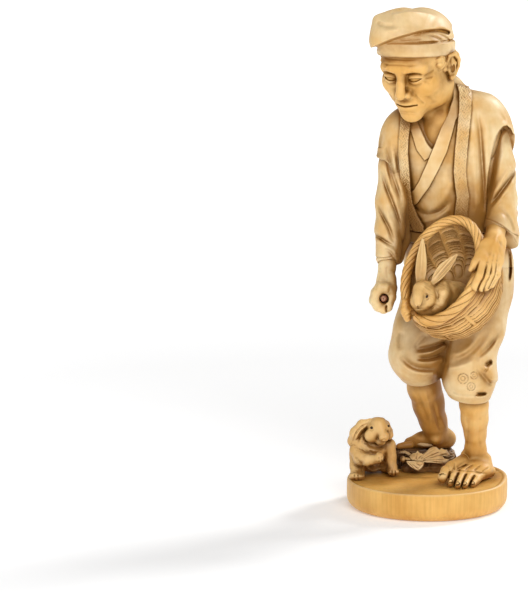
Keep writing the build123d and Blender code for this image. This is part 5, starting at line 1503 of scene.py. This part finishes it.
def ivory(name, light, mid, deep, stain_and_shade, grain="up", rough=0.40, dark=1.0, gloss=0.42, streaky=0.22, wear_and_sheen=0.5):
    """Polished, honey-toned ivory: streaky grain; brown in the cuts and hollows, partly stain and partly painted shade;
    paler edges, partly wear and partly a painted highlight.
    """
    mat = bpy.data.materials.new(name)
    mat.use_nodes = True
    t = mat.node_tree
    t.nodes.clear()
    L = t.links.new
    out = node(t, "ShaderNodeOutputMaterial")
    bs = node(t, "ShaderNodeBsdfPrincipled")
    L(bs.outputs[0], out.inputs[0])
    co = node(t, "ShaderNodeTexCoord")
    mp = node(t, "ShaderNodeMapping")
    L(co.outputs["Object"], mp.inputs["Vector"])
    mp.inputs["Scale"].default_value = (1.0, 1.0, 0.05) if grain == "up" else (0.06, 1.0, 1.0)
    cloud = node(t, "ShaderNodeTexNoise", inputs={"Scale": 75.0, "Detail": 3.0, "Roughness": 0.55})
    L(co.outputs["Object"], cloud.inputs["Vector"])
    streak = node(t, "ShaderNodeTexNoise", inputs={"Scale": 900.0, "Detail": 3.0, "Roughness": 0.6})
    L(mp.outputs[0], streak.inputs["Vector"])
    base = ramp(t, [(0.34, mid), (0.62, light)])
    L(cloud.outputs["Fac"], base.inputs[0])
    mx1 = node(t, "ShaderNodeMixRGB", blend_type="MULTIPLY", inputs={"Fac": streaky})
    st = ramp(t, [(0.30, (0.80, 0.72, 0.60)), (0.62, (1.0, 1.0, 1.0))])
    L(streak.outputs["Fac"], st.inputs[0])
    L(base.outputs[0], mx1.inputs[1])
    L(st.outputs[0], mx1.inputs[2])
    # paler edges: partly wear, partly a painted highlight on the ridges
    ed = node(t, "ShaderNodeAttribute", attribute_name="edge")
    er = node(t, "ShaderNodeMapRange", inputs={"From Min": 0.10, "From Max": 0.75, "To Min": 0.0, "To Max": wear_and_sheen})
    L(ed.outputs["Fac"], er.inputs["Value"])
    mx2 = node(t, "ShaderNodeMixRGB", inputs={"Color2": (*srgb(242, 216, 166), 1)})
    L(er.outputs[0], mx2.inputs[0])
    L(mx1.outputs[0], mx2.inputs[1])
    # painted shade in the broad hollows (with the darker patches), then stain and painted shade in the fine cuts
    br = node(t, "ShaderNodeAttribute", attribute_name="broad")
    fi = node(t, "ShaderNodeAttribute", attribute_name="fine")
    mott = node(t, "ShaderNodeTexNoise", inputs={"Scale": 420.0, "Detail": 4.0, "Roughness": 0.6})
    L(co.outputs["Object"], mott.inputs["Vector"])
    ad = node(t, "ShaderNodeMath", operation="MULTIPLY_ADD", inputs={1: 0.22, 2: -0.11})
    L(mott.outputs["Fac"], ad.inputs[0])
    a2 = node(t, "ShaderNodeMath", operation="ADD")
    L(br.outputs["Fac"], a2.inputs[0])
    L(ad.outputs[0], a2.inputs[1])
    b2 = node(t, "ShaderNodeMapRange", inputs={"From Min": 0.10, "From Max": 0.70, "To Min": 0.0, "To Max": 0.88 * dark})
    L(a2.outputs[0], b2.inputs["Value"])
    mx3 = node(t, "ShaderNodeMixRGB", inputs={"Color2": (*deep, 1)})
    L(b2.outputs[0], mx3.inputs[0])
    L(mx2.outputs[0], mx3.inputs[1])
    a3 = node(t, "ShaderNodeMath", operation="ADD")
    L(fi.outputs["Fac"], a3.inputs[0])
    L(ad.outputs[0], a3.inputs[1])
    f2 = node(t, "ShaderNodeMapRange", inputs={"From Min": 0.12, "From Max": 0.74, "To Min": 0.0, "To Max": 0.88 * dark})
    L(a3.outputs[0], f2.inputs["Value"])
    mx4 = node(t, "ShaderNodeMixRGB", inputs={"Color2": (*stain_and_shade, 1)})
    L(f2.outputs[0], mx4.inputs[0])
    L(mx3.outputs[0], mx4.inputs[1])
    L(mx4.outputs[0], bs.inputs["Base Color"])
    # polish: dull in the cuts, brighter on the handled swells
    rg = node(t, "ShaderNodeMath", operation="MULTIPLY_ADD", inputs={1: 0.30, 2: rough - 0.10})
    L(mott.outputs["Fac"], rg.inputs[0])
    rg2 = node(t, "ShaderNodeMath", operation="MULTIPLY_ADD", inputs={1: 0.35})
    L(f2.outputs[0], rg2.inputs[0])
    L(rg.outputs[0], rg2.inputs[2])
    L(rg2.outputs[0], bs.inputs["Roughness"])
    sp = node(t, "ShaderNodeMapRange", inputs={"From Min": 0.0, "From Max": 0.6, "To Min": gloss, "To Max": 0.06})
    L(f2.outputs[0], sp.inputs["Value"])
    L(sp.outputs[0], bs.inputs["Specular IOR Level"])
    bs.inputs["IOR"].default_value = 1.52
    bs.inputs["Subsurface Weight"].default_value = 0.08
    bs.inputs["Subsurface Radius"].default_value = (1.0, 0.55, 0.25)
    bs.inputs["Subsurface Scale"].default_value = 0.0012
    bp = node(t, "ShaderNodeBump", inputs={"Strength": 0.10, "Distance": 0.0002})
    hm = node(t, "ShaderNodeMath", operation="MULTIPLY_ADD", inputs={1: 0.6})
    L(streak.outputs["Fac"], hm.inputs[0])
    L(mott.outputs["Fac"], hm.inputs[2])
    L(hm.outputs[0], bp.inputs["Height"])
    L(bp.outputs[0], bs.inputs["Normal"])
    return mat


# colours: light, mid, then the painted shade of the hollows, then the stain and painted shade of the cuts
M_IVORY = ivory("ivory_carved", srgb(233, 206, 156), srgb(215, 166, 92), srgb(140, 90, 18), srgb(86, 50, 6))
M_BASKET = ivory("ivory_basket", srgb(234, 184, 106), srgb(216, 158, 74), srgb(148, 94, 22), srgb(92, 54, 8), wear_and_sheen=0.25)
M_SKIN = ivory("ivory_skin", srgb(236, 192, 120), srgb(218, 164, 84), srgb(146, 94, 24), srgb(92, 54, 8), gloss=0.30, rough=0.44, wear_and_sheen=0.30)
M_CLOTH = ivory("ivory_pale", srgb(229, 198, 146), srgb(214, 172, 106), srgb(158, 106, 36), srgb(120, 74, 20))
M_PALE = ivory("ivory_worn", srgb(236, 210, 160), srgb(224, 186, 122), srgb(150, 102, 38), srgb(110, 68, 20))
M_PLINTH = ivory("ivory_plinth", srgb(236, 186, 102), srgb(220, 164, 78), srgb(168, 114, 36), srgb(110, 68, 14), streaky=0.6)
# the mound gets darker colours than the rest of the carving
M_DARK = ivory("ivory_dark_mound", srgb(188, 144, 84), srgb(146, 102, 50), srgb(74, 44, 14), srgb(42, 24, 6), "side", 0.42)
M_LEAF = ivory("ivory_leaf", srgb(228, 192, 130), srgb(202, 158, 92), srgb(110, 70, 22), srgb(56, 32, 8), "side", 0.40)
M_RABBIT = ivory("ivory_rabbit", srgb(232, 192, 126), srgb(212, 164, 94), srgb(140, 92, 30), srgb(86, 52, 12), rough=0.40, wear_and_sheen=0.28)
M_STUB = ivory("stub_end", srgb(226, 170, 132), srgb(196, 130, 92), srgb(112, 58, 32), srgb(70, 32, 16))


def inlay():
    mat = bpy.data.materials.new("eye_inlay_dark")
    mat.use_nodes = True
    t = mat.node_tree
    bs = t.nodes["Principled BSDF"]
    co = node(t, "ShaderNodeTexCoord")
    nz = node(t, "ShaderNodeTexNoise", inputs={"Scale": 2500.0})
    t.links.new(co.outputs["Object"], nz.inputs["Vector"])
    rp = ramp(t, [(0.3, (0.020, 0.010, 0.004)), (0.8, (0.070, 0.032, 0.010))])
    t.links.new(nz.outputs["Fac"], rp.inputs[0])
    t.links.new(rp.outputs[0], bs.inputs["Base Color"])
    bs.inputs["Roughness"].default_value = 0.34
    bs.inputs["Specular IOR Level"].default_value = 0.25
    return mat


M_EYE = inlay()
MATS = {
    "head": M_SKIN, "right_hand": M_PALE, "left_hand": M_SKIN, "right_leg": M_SKIN, "left_leg": M_SKIN,
    "basket_body": M_BASKET, "basket_rim": M_BASKET,
    "head_cloth": M_CLOTH, "plinth": M_PLINTH, "ground_mound": M_DARK, "leaf_spray": M_LEAF,
    "plinth_rabbit": M_RABBIT, "basket_rabbit": M_RABBIT, "held_stick_stub": M_STUB,
    "plinth_rabbit_eyes": M_EYE, "basket_rabbit_eyes": M_EYE,
}


def add_mesh(b):
    name = b["name"]
    v = (b["v"].astype(np.float64) / 1000.0).astype(np.float32)
    faces = b["q"]
    tri = b.get("tri", np.zeros((0, 3), int))
    # outward winding
    a, c, e = (v[faces[:, k]] for k in (0, 1, 2))
    fn = np.cross(c - a, e - a)
    if (fn * b["n"][faces[:, 0]]).sum() < 0:
        faces = faces[:, ::-1]
        tri = tri[:, ::-1]
    me = bpy.data.meshes.new("carved_" + name)
    me.vertices.add(len(v))
    me.vertices.foreach_set("co", v.ravel())
    nl = faces.size + tri.size
    me.loops.add(nl)
    me.loops.foreach_set("vertex_index", np.r_[faces.ravel(), tri.ravel()].astype(np.int32))
    me.polygons.add(len(faces) + len(tri))
    st = np.r_[np.arange(len(faces)) * 4, faces.size + np.arange(len(tri)) * 3].astype(np.int32)
    me.polygons.foreach_set("loop_start", st)
    me.update(calc_edges=True)
    me.validate()
    me.polygons.foreach_set("use_smooth", np.ones(len(me.polygons), bool))
    for k in ("fine", "broad", "edge"):
        at = me.attributes.new(k, "FLOAT", "POINT")
        at.data.foreach_set("value", b[k].astype(np.float32))
    ob = bpy.data.objects.new("carved_" + name, me)
    bpy.context.scene.collection.objects.link(ob)
    me.materials.append(MATS.get(name, M_IVORY))
    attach(ob, "root")
    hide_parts(name)
    return ob


with ThreadPoolExecutor(4) as pool:
    list(pool.map(depths, BUILT))

pv, pq, pt = plinth_mesh()
r = np.hypot(pv[:, 0], pv[:, 1])
pn = np.where((pv[:, 2] > 9.9)[:, None] & (r < 29.0)[:, None], np.array([0, 0, 1.0]), np.stack([pv[:, 0], pv[:, 1], 0 * r], 1) / np.maximum(r, 1e-6)[:, None])
pn = np.where((pv[:, 2] < 0.05)[:, None], np.array([0, 0, -1.0]), pn)
pb = depths({"name": "plinth", "v": pv.astype(F4), "q": pq, "tri": pt, "n": pn})
# painted shade from the figure and the plinth's own hollows, weaker on the top than on the side; a painted highlight
# along the lip; stain and painted shade in the crease where the dish meets the lip
pb["broad"] = np.where((pv[:, 2] > 9.9) & (r < 28.6), pb["broad"] * 0.5, pb["broad"] * 0.35)
pb["edge"] = 0.8 * np.exp(-(((r - 29.3) / 0.5) ** 2)) * (pv[:, 2] > 9.9)
pb["fine"] = 0.42 * np.exp(-(((r - 28.2) / 0.5) ** 2)) * (pv[:, 2] > 9.9)
COUNTS = {}
for b in BUILT + [pb]:
    o = add_mesh(b)
    COUNTS[b["name"]] = len(o.data.polygons)
print("QUADS", COUNTS)

for nd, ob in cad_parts.items():
    if "dowel" in nd:
        ob.data.materials.clear()
        ob.data.materials.append(M_PLINTH)

# ------------------------------------------------------------------ floor, light, camera
fm = bpy.data.materials.new("pale_floor")
fm.use_nodes = True
ft = fm.node_tree
fb = ft.nodes["Principled BSDF"]
fn_ = node(ft, "ShaderNodeTexNoise", inputs={"Scale": 3.0})
fr_ = ramp(ft, [(0.0, (0.90, 0.90, 0.90)), (1.0, (0.92, 0.92, 0.92))])
ft.links.new(fn_.outputs["Fac"], fr_.inputs[0])
ft.links.new(fr_.outputs[0], fb.inputs["Base Color"])
fb.inputs["Roughness"].default_value = 0.9
fb.inputs["Specular IOR Level"].default_value = 0.1
fb.inputs["Emission Color"].default_value = (1.0, 1.0, 1.0, 1)
fc_ = node(ft, "ShaderNodeTexCoord")
fl_ = node(ft, "ShaderNodeVectorMath", operation="LENGTH")
ft.links.new(fc_.outputs["Object"], fl_.inputs[0])
fe_ = node(ft, "ShaderNodeMapRange", inputs={"From Min": 0.30, "From Max": 0.90, "To Min": 0.24, "To Max": 0.66})
ft.links.new(fl_.outputs["Value"], fe_.inputs["Value"])
ft.links.new(fe_.outputs[0], fb.inputs["Emission Strength"])
bpy.ops.mesh.primitive_plane_add(size=12.0, location=(0, 0, 0))
floor = bpy.context.active_object
floor.name = "floor"
floor.data.materials.append(fm)

world = bpy.data.worlds.new("studio") if bpy.context.scene.world is None else bpy.context.scene.world
bpy.context.scene.world = world
world.use_nodes = True
wb = world.node_tree.nodes.get("Background")
wb.inputs[0].default_value = (1.0, 1.0, 1.0, 1)
wb.inputs[1].default_value = 0.30


def area(name, loc, target, size, power, color=(1, 1, 1)):
    li = bpy.data.lights.new(name, "AREA")
    li.shape = "RECTANGLE"
    li.size, li.size_y = size
    li.energy = power
    li.color = color
    ob = bpy.data.objects.new(name, li)
    bpy.context.scene.collection.objects.link(ob)
    ob.location = loc
    from mathutils import Vector

    ob.rotation_euler = (Vector(target) - Vector(loc)).to_track_quat("-Z", "Y").to_euler()
    return ob


sun = bpy.data.lights.new("sun_soft", "SUN")
sun.angle = math.radians(16)
sun.energy = 1.75
so = bpy.data.objects.new("sun_soft", sun)
bpy.context.scene.collection.objects.link(so)
from mathutils import Vector

so.rotation_euler = Vector((-0.60, -0.52, -0.61)).to_track_quat("-Z", "Y").to_euler()
area("front_soft", (0.22, -0.97, 0.70), (0.0, 0.0, 0.09), (0.7, 0.5), 7.1)
area("left_soft", (-0.75, -0.55, 0.55), (0.0, 0.0, 0.10), (0.4, 0.6), 1.5)

from mathutils import Matrix

cam = bpy.data.cameras.new("camera")
cam.sensor_width = 36.0
cam.lens = FOCAL * 36.0 / 610.0
cam.clip_start, cam.clip_end = 0.05, 50.0
co_ = bpy.data.objects.new("camera", cam)
bpy.context.scene.collection.objects.link(co_)
co_.matrix_world = Matrix(((AXR[0], AXU[0], -AXF[0], CAM[0] / 1000), (AXR[1], AXU[1], -AXF[1], CAM[1] / 1000), (AXR[2], AXU[2], -AXF[2], CAM[2] / 1000), (0, 0, 0, 1)))
bpy.context.scene.camera = co_
bpy.context.scene.view_settings.view_transform = "Standard"
